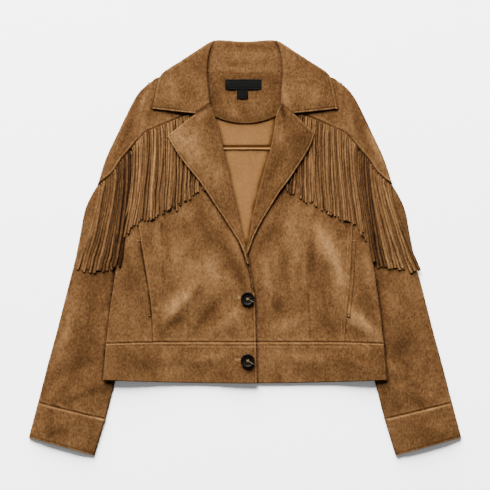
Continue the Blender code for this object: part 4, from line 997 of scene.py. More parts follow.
def makeNeck():
    seamY, topY = body["neckSeamY"], body["collarTopY"]
    lowerY = seamY - body["facingDepth"]

    def line(half, baseY, middleY):
        return smoothRun(acrossMiddle([(x, baseY + y) for x, y in neck[half]], middleY))

    seam = line("seamHalf", seamY, seamY)
    lower = line("lowerHalf", lowerY, lowerY)
    top = line("topHalf", topY, topY + neck["topMiddle"])
    heights = heightsOf(["neck_facing", "collar_stand"])
    rolls = [leafLines[side]["roll"] for side in ("left", "right")]
    clothPiece("neckFacing", between(seam, lower), heights, "neck", softSeams=[seam],
               folds=[(lower, 1.5, 2.0)], restsOn=["backYoke"],
               shadows=[*((roll, 3.5, 0.6, 0.0) for roll in rolls), (lower, 7.0, 0.0, 1.0)])
    standSides = [smoothRun([top[end], *mirrored([neck["standSide"]], side), seam[end]])
                  for end, side in ((0, "left"), (-1, "right"))]
    clothPiece("collarStand", (*standSides, top, seam), heights, "neck", folds=[(top, None, 4.5)],
               softSeams=[seam], shadows=[(roll, 3.0, 0.7, 0.0) for roll in rolls], restsOn=["collarFall"])


labels = {
    "thick": 0.7,
    "step": 1.6,
    "places": {
        # name: low x, high x, low y, high y
        "neckLabel": (-31.5, 26.5, 251.5, 268.5),
        "sizeLabel": (-13.0, 5.0, 237.0, 251.2),
    },
}


def makeLabels():
    heights = heightsOf(["neck_label", "size_label"], 1.5, 3.0)
    for name, (lowX, highX, lowY, highY) in labels["places"].items():
        sides = between(straight((lowX, highY), (highX, highY)), straight((lowX, lowY), (highX, lowY)))
        left, right, top, bottom = sides
        free = [left, right, bottom, top] if name == "neckLabel" else [left, right, bottom]
        clothPiece(name, sides, heights, None, thick=labels["thick"], step=labels["step"],
                   edges=[(run, labels["thick"]) for run in free],
                   upper="labelCloth", lower="labelCloth", restsOn=["neckFacing"])


makeBack()
makeCollarFall()
makeNeck()
makeLabels()
print("back, neck and labels made")

# Fronts

front = {
    "rollCover": 3.2,          # how far the cloth keeps back under the lapel's roll
    "coverEnds": (-34.0, -16.0),
    "overShoulder": 5.0,
    "yokeMiddle": (-162.0, 222.0),
    "yokeNeckSide": ((-64.5, 276.0), (-63.4, 251.0)),
    "ridge": (-104.0, 284.5),
    "turn": 3.0,
    "sideDrop": 2.4,
    "sideRadius": 2.2,
    "hemDrop": 2.5,
    "openEdge": {"left": 0.62, "right": 0.75},   # where the turned edge starts to show
    "darts": {
        "left": (((-90.7, -83.0), (-91.0, -148.0)), ((-134.0, 43.0), (-130.0, -62.0))),
        "right": (((101.4, -69.8), (104.6, -148.0)),),
    },
    # the fold below the left lapel's break, which carries a painted shadow
    "breakFold": ((-8.0, 4.0), (2.0, -20.0), (9.0, -45.0), (14.0, -72.0)),
}


def makeFront(side):
    sign = signOf(side)
    armhole, crease = runFor(side, bodyCrease[:3]), runFor(side, bodyCrease[2:])
    edge = smoothRun(frontEdges[side])
    low, high = front["coverEnds"]
    cover = front["rollCover"] * np.clip((edge[:, 1] - low) / (high - low), 0.0, 1.0)
    rolled = sideways(edge, -sign * cover)
    corner = armhole[0]
    seam = smoothRun([corner, *mirrored(yokeSeam[1:-1], side), rolled[0]])
    pocket = smoothRun(pocketSeams[side])
    step, sideBottom = straight(crease[0], pocket[0]), straight(crease[-1], pocket[-1])
    frontBottom = straight(pocket[-1], rolled[-1])

    headOuter = runFor(side, sleeveHeadEdge)
    along = headOuter[0] - headOuter[1]
    over = headOuter[0] + front["overShoulder"] * along / np.linalg.norm(along)
    middle, neckPoint, ridge = mirrored([front["yokeMiddle"], body["neckPoint"], front["ridge"]], side)
    yokeTop = smoothRun([over, ridge, neckPoint])
    yokeTop = sideways(yokeTop, np.linspace(0, sign * front["turn"], len(yokeTop)))
    yokeInner = smoothRun([neckPoint, *mirrored(front["yokeNeckSide"], side), seam[-1]])
    yokeInner = np.vstack([yokeTop[-1:], yokeInner[1:]])
    yokeOuter = np.vstack([yokeTop[:1], smoothRun([over, middle, corner])[1:]])
    headTop = straight(headOuter[0], yokeOuter[0])
    headBottom = smoothRun([headOuter[-1], *mirrored(sleeveSeam[-2:0:-1], side), corner])

    stems = ("front_yoke", "sleeve_head", "front", "side_front", "front_band")
    heights = heightsOf([f"{stem}_{side}" for stem in stems])
    rest = ["backPanel", named("sleeveTop", side)]
    leaf = leafLines[side]
    clothPiece(named("frontYoke", side), facedFor(side, yokeOuter, yokeInner, yokeTop, seam), heights, "body",
               folds=[(yokeTop, 1.8, 1.6)], softSeams=[yokeOuter], seams=[seam], restsOn=rest,
               shadows=[(leaf["lower"], 2.8, 0.5, 0.0), (leaf["outer"], 2.2, 0.4, 0.0),
                        (leaf["lapelTop"], 2.4, 0.5, 0.0)])
    clothPiece(named("sleeveHead", side), facedFor(side, headOuter, yokeOuter, headTop, headBottom),
               heights, "body", folds=[(headOuter, None, 3.2), (headTop, 1.8, 1.6)],
               softSeams=[yokeOuter, headBottom],
               shadows=[(headBottom, 0.9, 0.9, 0.5)], restsOn=rest,
               ridges=[(headBottom, 2.6, 1.0, 0.24), (headBottom, 5.2, 1.0, -0.15)])

    if side == "right":
        # the left front and its band lie over this one, and a painted shadow lies along their edge
        overlap = partOf(smoothRun(frontEdges["left"]), 0.6, 1.0)
        overlap = joinRuns(overlap, straight(overlap[-1], (body["leftBandEdge"], -219.0)))
        paintedShadowLines = [(overlap, 3.0, 0.7, 0.3)]
    else:
        # a painted shadow along the fold below the left lapel's break, where the cloth also sinks
        paintedShadowLines = [(smoothRun(front["breakFold"]), 2.2, 1.5, 0.9)]
    outer, shown = joinRuns(armhole, step, pocket), partOf(rolled, front["openEdge"][side], 1.0)
    darts = [smoothRun(dart) for dart in front["darts"][side]]
    clothPiece(named("front", side), facedFor(side, outer, rolled, seam, frontBottom), heights, "body",
               folds=[(armhole, 2.0, 1.6)], edges=[(shown, 2.2)],
               seams=[seam, frontBottom], faintSeams=[pocket], darts=darts,
               shadows=[(leaf["lapelEdge"], 2.8, 0.7, 0.0), *paintedShadowLines], restsOn=rest)
    sideFold = front["sideDrop"], front["sideRadius"]
    clothPiece(named("sideFront", side), facedFor(side, crease, pocket, step, sideBottom), heights, "body",
               folds=[(crease, *sideFold)], seams=[sideBottom], faintSeams=[pocket], restsOn=rest)

    bandTop = joinRuns(sideBottom, frontBottom)
    hem = hemRun(sign * body["hemCorner"][0], body["leftBandEdge"] if side == "left" else body["underlap"])
    bandOuter, bandInner = between(bandTop, hem)[:2]
    clothPiece(named("frontBand", side), facedFor(side, bandOuter, bandInner, bandTop, hem), heights, "body",
               folds=[(bandOuter, *sideFold), (hem, front["hemDrop"], 1.4)], edges=[(bandInner, 2.2)],
               seams=[bandTop], shadows=paintedShadowLines if side == "right" else (),
               thick=cloth["doubled"], lower="suede",
               ridges=[(bandTop, 2.4, 1.1, 0.16), (bandTop, 5.6, 0.9, -0.4), (bandTop, 7.8, 1.3, 0.18)],
               restsOn=["backBand"])
    return {"edge": rolled, "pocket": pocket, "bandTop": bandTop, "bandInner": bandInner}


welt = {"wide": 5.5, "from": 0.40, "to": 0.85, "thick": 1.0, "shade": {"left": 1.3, "right": 0.6}}


def makeWelt(side):
    shown = partOf(smoothRun(pocketSeams[side]), welt["from"], welt["to"])
    outer = sideways(shown, -signOf(side) * welt["wide"])
    top, bottom = straight(outer[0], shown[0]), straight(outer[-1], shown[-1])
    clothPiece(named("pocketWelt", side), facedFor(side, outer, shown, top, bottom),
               heightsOf([f"pocket_welt_{side}"], 1.5, 3.0), "body", thick=welt["thick"], lift=-0.6,
               edges=[(top, 1.0), (bottom, 1.0)], folds=[(outer, 1.0, 0.6)],
               shadows=[(shown, 1.7, welt["shade"][side], 0.6)], restsOn=[named("sideFront", side)])


def makeCollarAndLapel(side):
    lines = leafLines[side]
    gorge, over, roll, lower = (lines[key] for key in ("gorge", "over", "roll", "lower"))
    inner, edge, top = (lines[key] for key in ("inner", "lapelEdge", "lapelTop"))
    heights = heightsOf([f"collar_{side}", f"lapel_{side}"], 2.0, 4.5)
    drop, sink, rest = lapels["edgeDrop"], lapels["edgeSink"], [named("frontYoke", side)]
    stiff = {"thick": cloth["doubled"], "lower": "suede", "lift": lapels["raised"], "faintSeams": [gorge]}
    clothPiece(named("collar", side), facedFor(side, lines["outer"], roll, over, joinRuns(lower, gorge)),
               heights, "collar", folds=[(over, None, 4.5), (roll, lapels["rollDrop"], 3.0)],
               edges=[(lines["outer"], drop), (lower, drop)], shadows=[(lower, 9.0, 0.0, sink)],
               restsOn=rest, **stiff)
    bottom = straight(edge[-1], inner[-1])
    clothPiece(named("lapel", side), facedFor(side, edge, inner, joinRuns(top, gorge), bottom),
               heights, "collar", folds=[(inner, lapels["rollDrop"], lapels["rollRadius"])],
               edges=[(edge, drop), (top, drop)],
               shadows=[(edge, 7.0, 0.0, 0.5 * sink), (top, 9.0, 0.0, sink)],
               restsOn=rest + [named("front", side)], **stiff)


frontLines = {}
for side in ("right", "left"):
    frontLines[side] = makeFront(side)
    makeWelt(side)
    makeCollarAndLapel(side)
print("fronts, welts, collar and lapels made")

# What lies on the cloth finds its height by looking down on the finished pieces


def treeOf(names):
    points, faces = [], []
    for name in names:
        piecePoints, pieceFaces = made[name]
        faces += (pieceFaces + len(points)).tolist()
        points += [Vector(p) for p in piecePoints]
    return BVHTree.FromPolygons(points, faces)


def seenFromAbove(tree, x, y):
    return tree.ray_cast(Vector((x, y, 90.0)), Vector((0, 0, -1)))[0]


def lookDown(tree, x, y):
    place = seenFromAbove(tree, x, y)
    return 0.0 if place is None else place.z


# Geometry Nodes: stitches along a path, and strands of fringe


def makeGeometryTree(name, inputs):
    inputs = [("Geometry", "Geometry", None), *inputs]
    return makeTree(name, "GeometryNodeTree", inputs, [("Geometry", "Geometry")])


def combined(tree, *values):
    return addNode(tree, "ShaderNodeCombineXYZ", dict(enumerate(values))).outputs[0]


def chained(tree, source, *steps):
    # each step is a node and the name of the socket that the geometry goes into
    for node, label in steps:
        tree.links.new(source, node.inputs[label])
        source = node.outputs[0]
    return source


def buildStitchTree():
    tree, given, put = makeGeometryTree("stitchesAlongPath", [
        ("Pitch", "Float", 0.0032), ("Length", "Float", 0.0026), ("Thickness", "Float", 0.0006),
        ("Turn", "Float", 0.0), ("Thread", "Material", None)])
    toCurve = addNode(tree, "GeometryNodeMeshToCurve")
    spots = addNode(tree, "GeometryNodeCurveToPoints", {"Length": given["Pitch"]}, mode="LENGTH")
    stitch = addNode(tree, "GeometryNodeMeshUVSphere", {"Segments": 6, "Rings": 5, "Radius": 0.5})
    size = combined(tree, given["Thickness"], given["Thickness"], given["Length"])
    shaped = addNode(tree, "GeometryNodeTransform", {"Geometry": stitch.outputs[0], "Scale": size})
    turn = addNode(tree, "FunctionNodeEulerToRotation", {0: combined(tree, 0.0, 0.0, given["Turn"])})
    turned = addNode(tree, "FunctionNodeRotateRotation", {0: spots.outputs["Rotation"], 1: turn.outputs[0]},
                     rotation_space="GLOBAL")
    placed = addNode(tree, "GeometryNodeInstanceOnPoints", {
        "Instance": shaped.outputs[0], "Rotation": turned.outputs[0]})
    realised = addNode(tree, "GeometryNodeRealizeInstances")
    dyed = addNode(tree, "GeometryNodeSetMaterial", {"Material": given["Thread"]})
    tree.links.new(chained(tree, given["Geometry"], (toCurve, "Mesh"), (spots, "Curve"), (placed, "Points"),
                           (realised, "Geometry"), (dyed, "Geometry")), put[0])
    return tree


def buildStrandTree():
    tree, given, put = makeGeometryTree("fringeStrands", [
        ("Width", "Float", 0.0038), ("Thickness", "Float", 0.0012), ("Twist", "Float", 0.5),
        ("Waver", "Float", 0.0012), ("Seed", "Float", 3.0), ("Side Shade", "Float", 1.0),
        ("Cloth", "Material", None)])
    toCurve = addNode(tree, "GeometryNodeMeshToCurve")
    even = addNode(tree, "GeometryNodeResampleCurve", {"Count": 30})
    place = addNode(tree, "GeometryNodeInputPosition").outputs[0]
    noise = addNode(tree, "ShaderNodeTexNoise", {
        "Vector": place, "W": given["Seed"], "Scale": 34.0, "Detail": 1.0}, noise_dimensions="4D")
    centred = mathNode(tree, "SUBTRACT", noise.outputs[0], 0.5)
    along = addNode(tree, "GeometryNodeSplineParameter").outputs["Factor"]
    sway = mathNode(tree, "MULTIPLY", mathNode(tree, "MULTIPLY", centred, along), given["Waver"])
    offset = combined(tree, mathNode(tree, "MULTIPLY", sway, 4.0), 0.0, 0.0)
    moved = addNode(tree, "GeometryNodeSetPosition", {"Offset": offset})
    upright = addNode(tree, "GeometryNodeSetCurveNormal", mode="Z_UP")
    lean = addNode(tree, "GeometryNodeInputNamedAttribute", {"Name": "lean"}, data_type="FLOAT").outputs[0]
    tilt = mathNode(tree, "ADD", mathNode(tree, "MULTIPLY", centred, given["Twist"]), lean)
    tilted = addNode(tree, "GeometryNodeSetCurveTilt", {"Tilt": tilt})
    # the profile is a flat round, and its two sides are marked with painted shade, so that the gaps between the
    # strands are darker
    circle = addNode(tree, "GeometryNodeCurvePrimitiveCircle", {"Resolution": 10, "Radius": 0.5})
    size = combined(tree, given["Width"], given["Thickness"], 1.0)
    scaled = addNode(tree, "GeometryNodeTransform", {"Geometry": circle.outputs[0], "Scale": size})
    fromMiddle = addNode(tree, "ShaderNodeSeparateXYZ", {0: place}).outputs[0]
    out = mathNode(tree, "ABSOLUTE", mathNode(tree, "DIVIDE", fromMiddle, given["Width"]))
    steep = mathNode(tree, "POWER", mathNode(tree, "MULTIPLY", out, 2.0), 3.0)
    marked = addNode(tree, "GeometryNodeStoreNamedAttribute", {
        "Geometry": scaled.outputs[0], "Name": "paintedShading",
        "Value": mathNode(tree, "MULTIPLY", steep, given["Side Shade"])}, data_type="FLOAT")
    swept = addNode(tree, "GeometryNodeCurveToMesh", {"Profile Curve": marked.outputs[0], "Fill Caps": True})
    realised = addNode(tree, "GeometryNodeRealizeInstances")
    dyed = addNode(tree, "GeometryNodeSetMaterial", {"Material": given["Cloth"]})
    tree.links.new(chained(tree, given["Geometry"], (toCurve, "Mesh"), (even, "Curve"), (moved, "Geometry"),
                           (upright, "Curve"), (tilted, "Curve"), (swept, "Curve"), (realised, "Geometry"),
                           (dyed, "Geometry")), put[0])
    return tree


def pathMesh(name, paths, attributes=None):
    points, edges, values = [], [], {key: [] for key in attributes or {}}
    for number, path in enumerate(paths):
        start = len(points)
        points += list(path)
        edges += [(k, k + 1) for k in range(start, len(points) - 1)]
        for key in values:
            values[key] += [attributes[key][number]] * len(path)
    mesh = bpy.data.meshes.new(name)
    mesh.from_pydata(toFrame(points).tolist(), edges, [])
    for key, column in values.items():
        mesh.attributes.new(key, "FLOAT", "POINT").data.foreach_set("value", np.array(column, np.float32))
    return addObject(name, mesh)


def withModifiers(piece):
    # the piece's mesh becomes what its modifiers make of it
    graph = bpy.context.evaluated_depsgraph_get()
    mesh = bpy.data.meshes.new_from_object(piece.evaluated_get(graph), depsgraph=graph)
    piece.modifiers.clear()
    piece.data = mesh


def applyTree(piece, tree, values):
    grow = piece.modifiers.new("grow", "NODES")
    grow.node_group = tree
    for item in tree.interface.items_tree:
        if item.in_out == "INPUT" and item.name in values:
            grow[item.identifier] = values[item.name]
    bpy.context.view_layer.update()
    withModifiers(piece)
    piece.data.shade_smooth()


stitchTree, strandTree = buildStitchTree(), buildStrandTree()


def addStitches(name, paths, pitch, length, thick, thread, turn=0.0):
    piece = pathMesh(name, paths)
    applyTree(piece, stitchTree, {"Pitch": pitch * mm, "Length": length * mm, "Thickness": thick * mm,
                                  "Turn": turn, "Thread": materials[thread]})
    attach(piece, "root")


# Topstitching

topTree = treeOf(made)
stitching = {
    "pitch": 3.2,
    "length": 2.6,
    "thick": 0.62,
    "bury": 0.06,
    "jump": 1.2,               # a step higher than this is the edge of other cloth
    "besideSeam": 2.2,
    "besidePocket": 2.0,
    "secondPocket": 7.0,
    "underAllowance": 1.6,
    "allowanceHalf": 40.0,
}


def laidPath(run, above=0.0, spacing=2.0):
    count = max(2, round(lengthsAlong(run)[-1] / spacing))
    line = pointsAt(run, np.linspace(0, 1, count + 1))
    return [(x, y, lookDown(topTree, x, y) + above) for x, y in line]


def onTop(path):
    # leaves out the stretches that run under other cloth, where the height jumps
    kept, current = [], [path[0]]
    for before, after in zip(path, path[1:]):
        if abs(after[2] - before[2]) > stitching["jump"]:
            kept.append(current)
            current = []
        current.append(after)
    kept.append(current)
    return [part for part in kept if len(part) > 3]


def stitchRows(side):
    lines, leaf = frontLines[side], leafLines[side]
    inset, besideSeam = cloth["stitchInset"], stitching["besideSeam"]
    rows = [
        # line, how far the stitches are from it, where they start and end
        (leaf["outer"], inset, 0.05, 0.985),
        (leaf["lower"], inset, 0.03, 0.97),
        (leaf["lapelEdge"], inset, 0.015, 0.93),
        (leaf["lapelTop"], -inset, 0.05, 0.97),
        (lines["bandTop"], -besideSeam, 0.01, 0.985 if side == "left" else 0.86),
        (cuffSeams[side], -besideSeam, 0.03, 0.97),
        (lines["pocket"], stitching["besidePocket"], 0.25, 0.99),
    ]
    if side == "right":
        rows.append((lines["pocket"], stitching["secondPocket"], 0.35, 0.99))
    return [partOf(sideways(run, signOf(side) * away), start, end) for run, away, start, end in rows]


def addTopstitching():
    left, wide = frontLines["left"], stitching["allowanceHalf"]
    frontEdge = joinRuns(partOf(left["edge"], 0.66, 1.0), left["bandInner"])
    y = body["backSeamY"] - backSizes["allowanceTop"] - backSizes["allowanceDeep"] - stitching["underAllowance"]
    rows = [sideways(partOf(frontEdge, 0.0, 0.99), -cloth["stitchInset"]),
            *stitchRows("left"), *stitchRows("right"), straight((-wide, y), (wide, y))]
    paths = [part for run in rows for part in onTop(laidPath(run, -stitching["bury"]))]
    addStitches("topstitching", paths, stitching["pitch"], stitching["length"], stitching["thick"], "thread")


addTopstitching()
print("topstitching made")

# Fringe

fringeSizes = {
    "front": {
        "count": 35, "extra": 9, "width": 4.1, "tone": {"left": 0.05, "right": -0.2},
        "seam": ((-180.5, 158.0), (-177.0, 163.0), (-160.5, 181.6), (-141.5, 190.6), (-122.5, 199.1),
                 (-92.5, 211.6), (-64.0, 224.0)),
        "tips": {side: ((-194.0, 11.0), (-181.0, 33.0), (-143.0, 50.0), (-110.0, 67.0), (-83.0, 83.0),
                        (-60.0, 96.0)) for side in ("left", "right")},
        "shadedFrom": 1.0,
        "shaded": 0.0,
    },
    "sleeve": {
        "count": 15, "extra": 0, "width": 5.4, "tone": {"left": -0.3, "right": -0.15},
        "seam": ((-234.5, 98.2), (-213.0, 116.8), (-198.6, 137.2), (-183.4, 154.7)),
        "tips": {"left": ((-270.0, -37.0), (-245.0, -40.0), (-234.0, -39.0), (-220.0, -37.0),
                          (-200.0, -29.0)),
                 "right": ((-280.5, -37.0), (-262.0, -38.0), (-243.0, -35.0), (-224.0, -31.0),
                           (-202.0, -26.0))},
        # the strands rooted nearest the body are painted darker: painted shade where they hang beside it
        "shadedFrom": 0.5,
        "shaded": -0.85,
    },
    "thick": 1.4,
    "rest": 0.35,
    "clearHalf": 1.8,          # a strand stays clear of the cloth this far to each side
    "rootLean": 9.0,
    "bow": (1.0, 0.6),
    "lengthScatter": 4.0,
    "sideScatter": 1.6,
    "shareScatter": 0.006,
    "stations": 26,
    "toneScatter": 0.28,
    "everyOther": 0.6,         # every other strand lies this much higher
    "extraRaised": 1.5,
    "leanScatter": 0.22,
    "twist": 0.8,
    "waver": 1.4,
    "sideShade": 1.7,
    "floorClear": 0.1,
    "backingDeep": 6.0,
    "backingThick": 1.1,
    "backingRest": 0.2,
    "backingDarker": 0.4,
}


def windows(values, reach):
    # every value beside its neighbours on both sides
    wide = np.pad(values, reach, mode="edge")
    return [wide[k:k + len(values)] for k in range(2 * reach + 1)]


def strandPath(ground, root, tip, bow, lift, rootLean):
    share = np.linspace(0, 1, fringeSizes["stations"])
    way, s = tip - root, share[:, None]
    across = np.array([-way[1], way[0]]) / np.linalg.norm(way)
    # the root leaves the seam square to it, then the strand bends down
    near, far = root + 0.12 * way + rootLean, root + 0.6 * way + 0.6 * rootLean
    line = (1 - s) ** 3 * root + 3 * (1 - s) ** 2 * s * near + 3 * (1 - s) * s**2 * far + s**3 * tip
    line = line + (bow[0] * np.sin(math.pi * share) + bow[1] * np.sin(2 * math.pi * share))[:, None] * across
    half = fringeSizes["clearHalf"]
    found = np.array([[lookDown(ground, x + dx, y) for x, y in line] for dx in (-half, 0.0, half)]).max(0)
    smooth = np.mean(windows(np.max(windows(found, 2), axis=0), 3), axis=0)
    z = np.maximum(smooth, found) + fringeSizes["rest"] + fringeSizes["thick"] / 2
    return np.column_stack([line, z + lift * np.clip(share * 6, 0, 1)])


def addBacking(piece, ground, seam, side, tone):
    # the narrow strip that the strands are cut from. It is sewn into the seam, under their roots
    deep, thick = fringeSizes["backingDeep"], fringeSizes["backingThick"]
    line = pointsAt(seam, np.linspace(0.0, 1.0, 61))
    loops = []
    for away, height in ((0.0, thick), (deep, thick), (deep, 0.0), (0.0, 0.0)):
        run = sideways(line, -signOf(side) * away)
        under = np.mean(windows([lookDown(ground, x, y) for x, y in run], 2), axis=0)
        loops.append(np.column_stack([run, under + fringeSizes["backingRest"] + height]))
    count, faces = len(line), []
    for k in range(count - 1):
        for ring in range(4):
            a, b = ring * count + k, (ring + 1) % 4 * count + k
            faces.append((a, b, b + 1, a + 1))
    faces += [(0, 3 * count, 2 * count, count), (count - 1, 2 * count - 1, 3 * count - 1, 4 * count - 1)]
    if side == "right":
        faces = [face[::-1] for face in faces]
    form = bmesh.new()
    form.from_mesh(piece.data)
    tones = form.verts.layers.float["napAndPaintedShade"]
    corners = [form.verts.new(corner) for corner in toFrame(np.vstack(loops)).tolist()]
    # the strip is painted darker than its strands: painted shade under their roots
    for corner in corners:
        corner[tones] = tone - fringeSizes["backingDarker"]
    for face in faces:
        form.faces.new([corners[k] for k in face])
    form.to_mesh(piece.data)
    form.free()


def makeFringe(side, kind):
    sizes = fringeSizes[kind]
    chance = random.Random(f"{kind} fringe {side}")
    ground = treeOf([named(stem, side) for stem in
                     ("sleeveTop", "sleeveHead", "frontYoke", "front", "sideFront", "pocketWelt")])
    above = treeOf([named("collar", side), named("lapel", side)])
    seam, tips = runFor(side, sizes["seam"]), runFor(side, sizes["tips"][side])
    paths, lean, napAndPaintedShade, panel = [], [], [], []
    for k in range(sizes["count"] + sizes["extra"]):
        extra = k >= sizes["count"]
        share = (k + 0.42) / sizes["count"] if not extra else chance.uniform(0.06, 0.94)
        scatter = fringeSizes["shareScatter"]
        root, tip = pointsAt(seam, [share])[0], pointsAt(tips, [share + chance.uniform(-scatter, scatter)])[0]
        astray = chance.gauss(0, fringeSizes["sideScatter"])
        tip = tip + (astray, chance.gauss(0, fringeSizes["lengthScatter"]) / 2)
        if extra and any(seenFromAbove(above, *place) for place in (root, (root + tip) / 2, tip)):
            continue
        bow = [chance.gauss(0, amount) for amount in fringeSizes["bow"]]
        ahead = pointsAt(seam, [min(share + 0.02, 1.0)])[0] - pointsAt(seam, [max(share - 0.02, 0.0)])[0]
        square = np.array([ahead[1], -ahead[0]]) / np.linalg.norm(ahead) * signOf(side)
        raised = fringeSizes["extraRaised"] if extra else fringeSizes["everyOther"] * (k % 2)
        paths.append(strandPath(ground, root, tip, bow, raised, fringeSizes["rootLean"] * square))
        lean.append(chance.gauss(0, fringeSizes["leanScatter"]))
        shaded = sizes["shaded"] * max(share - sizes["shadedFrom"], 0.0) / 0.5
        napAndPaintedShade.append(chance.gauss(sizes["tone"][side] + shaded, fringeSizes["toneScatter"]))
        panel.append(chance.uniform(0, 9))
    name = named(f"fringe{kind.capitalize()}", side)
    piece = pathMesh(name, paths, {"lean": lean, "napAndPaintedShade": napAndPaintedShade, "panel": panel})
    applyTree(piece, strandTree, {
        "Width": sizes["width"] * mm, "Thickness": fringeSizes["thick"] * mm, "Twist": fringeSizes["twist"],
        "Waver": fringeSizes["waver"] * mm, "Seed": float(sum(map(ord, name)) % 17),
        "Side Shade": fringeSizes["sideShade"], "Cloth": materials["suede"]})
    addBacking(piece, ground, seam, side, sizes["tone"][side])
    for vertex in piece.data.vertices:
        vertex.co.z = max(vertex.co.z, fringeSizes["floorClear"] * mm)
    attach(piece, "root")
    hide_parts(nodeFor(name))


for side in ("left", "right"):
    for kind in ("front", "sleeve"):
        makeFringe(side, kind)
print("fringe made")

# Buttons

button = {
    "places": {"buttonUpper": drawnButton, "buttonLower": (4.2, -182.0)},
    "profile": (
        # radius, height
        (0.0, 0.1), (6.5, 0.1), (9.6, 0.7), (10.9, 1.6), (11.3, 2.4), (11.15, 3.1), (10.5, 3.65), (9.6, 3.8),
        (8.7, 3.6), (8.0, 3.0), (7.2, 2.55), (5.5, 2.35), (0.0, 2.3),
    ),
    "rest": 0.2,
    "restSpots": (-7, 0, 7),
    "nearSolid": 1.5,
    "holeCircle": 2.6,
    "holeRadius": 0.95,
    "turnedLines": 48,
}


def makeButton(name, x, y):
    solidZ, spots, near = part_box(nodeFor(name))[0][2] / mm, button["restSpots"], button["nearSolid"]
    base = max(lookDown(topTree, x + dx, y + dy) for dx in spots for dy in spots) + button["rest"]
    base = min(max(base, solidZ - near), solidZ + near)
    (_, lowest), *rings, (_, middle) = button["profile"]
    count = button["turnedLines"]
    turns = [2 * math.pi * k / count for k in range(count)]
    points = [(x, y, base + lowest)]
    points += [(x + radius * math.cos(turn), y + radius * math.sin(turn), base + height)
               for radius, height in rings for turn in turns]
    points.append((x, y, base + middle))
    faces, last = [], 1 + (len(rings) - 1) * count
    for k in range(count):
        after = (k + 1) % count
        faces.append((0, 1 + after, 1 + k))
        for ring in range(len(rings) - 1):
            a, b = 1 + ring * count + k, 1 + ring * count + after
            faces.append((a, b, b + count, a + count))
        faces.append((last + k, last + after, len(points) - 1))
    mesh = bpy.data.meshes.new(name)
    mesh.from_pydata(toFrame(points).tolist(), [], faces)
    mesh.materials.append(materials["horn"])
    mesh.shade_smooth()
    piece, cutters, reach = addObject(name, mesh), [], button["holeCircle"]
    for k in range(4):
        turn = math.radians(45 + 90 * k)
        place = toFrame((x + reach * math.cos(turn), y + reach * math.sin(turn), base + 1.5))
        bpy.ops.mesh.primitive_cylinder_add(vertices=20, radius=button["holeRadius"] * mm, depth=14 * mm,
                                            location=place)
        cutters.append(bpy.context.object)
        cut = piece.modifiers.new("hole", "BOOLEAN")
        cut.operation = "DIFFERENCE"
        cut.object = cutters[-1]
    withModifiers(piece)
    for cutter in cutters:
        bpy.data.objects.remove(cutter)
    piece.data.set_sharp_from_angle(angle=math.radians(40))
    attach(piece, "root")
    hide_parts(nodeFor(name))
    return base


buttonBase = {name: makeButton(name, *place) for name, place in button["places"].items()}

buttonhole = {
    "ends": {
        # name: left end x, right end x, rise over the length
        "buttonUpper": (-10.5, 13.5, -3.0),
        "buttonLower": (-15.5, 13.0, -2.2),
    },
    "wide": 2.4,
    "barHalf": 1.6,
    "threadAbove": 2.3,        # over the button's lowest point
    "threadApart": 0.45,
    "threadArch": 0.75,
    "threadSink": 0.3,
}


def addButtonholes():
    # two rows of close satin stitches and a bar at each end
    rows, bars, bar = [], [], buttonhole["barHalf"]
    for name, (x, y) in button["places"].items():
        left, right, rise = buttonhole["ends"][name]
        for across in (-0.5, 0.5):
            beside = across * buttonhole["wide"]
            ends = (left, y + rise * -0.5 + beside), (right, y + rise * 0.5 + beside)
            rows.append(laidPath(straight(*ends), 0.1))
        for endX, endY in ((left, y + rise * -0.5), (right, y + rise * 0.5)):
            bars.append(laidPath(straight((endX, endY - bar), (endX, endY + bar)), 0.2, 0.8))
    addStitches("buttonholeSatin", rows, 0.55, 1.9, 0.6, "thread", math.radians(90))
    addStitches("buttonholeBars", bars, 0.5, 1.7, 0.6, "paleThread", math.radians(90))


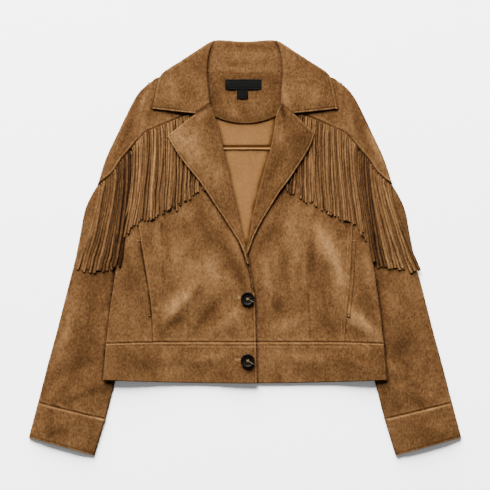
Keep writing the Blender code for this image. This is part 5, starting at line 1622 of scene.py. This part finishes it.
def addButtonThread():
    # the thread crosses between the four holes, and one end lies loose over the rim
    crossings, reach = [], button["holeCircle"]
    for name, (x, y) in button["places"].items():
        top = buttonBase[name] + buttonhole["threadAbove"]
        for turn in (math.radians(45), math.radians(135)):
            away = np.array([math.cos(turn), math.sin(turn)])
            for beside in (-buttonhole["threadApart"], buttonhole["threadApart"]):
                middle = (x, y) + beside * np.array([-away[1], away[0]])
                arch, low = buttonhole["threadArch"], top - buttonhole["threadSink"]
                crossings.append([(*(middle + k * reach * away), low + arch * (1 - abs(k)) ** 0.5)
                                  for k in np.linspace(-1, 1, 11)])
        loose = smoothRun([(0.4, 1.0), (4.2, 1.5), (8.6, 2.15), (11.4, 1.7)], 8)
        crossings.append([(x + 0.88 * far, y - 0.46 * far, top - 0.4 + height) for far, height in loose])
    addStitches("buttonThread", crossings, 0.5, 0.9, 0.45, "paleThread")


addButtonholes()
addButtonThread()
print("buttons and buttonholes made")

# Camera and light

studio = {
    "lens": 100.0,
    "sensor": 36.0,
    "frameWide": 784.0,        # what the picture spans at the cloth
    "middle": (0.0, 3.2),      # of the picture, on the pattern
    "clothHeight": 8.0,
    "clipEnd": 20.0,
    "lights": {
        # name: place, width and height, power
        "keyLight": ((-1.3, 6.1, 2.75), (4.4, 4.8), 7300.0),
        "fillLight": ((0.6, -1.4, 3.6), (2.2, 2.2), 9.0),
    },
    "air": 0.2,
}
camera = bpy.data.cameras.new("studioCamera")
camera.lens, camera.sensor_width, camera.clip_end = studio["lens"], studio["sensor"], studio["clipEnd"]
cameraObject = addObject("studioCamera", camera)
distance = studio["frameWide"] * studio["lens"] / studio["sensor"]
cameraObject.location = toFrame((*studio["middle"], distance + studio["clothHeight"]))
bpy.context.scene.camera = cameraObject

for name, (place, size, power) in studio["lights"].items():
    light = bpy.data.lights.new(name, "AREA")
    light.shape = "RECTANGLE"
    light.size, light.size_y = size
    light.energy = power
    lamp = addObject(name, light)
    lamp.location = place
    lamp.rotation_euler = (-Vector(place)).to_track_quat("-Z", "Y").to_euler()   # it aims at the jacket

world = bpy.data.worlds.new("studioAir")
world.use_nodes = True
background = world.node_tree.nodes["Background"].inputs
background["Color"].default_value, background["Strength"].default_value = (1.0, 1.0, 1.0, 1.0), studio["air"]
bpy.context.scene.world = world
print("camera and lights set")
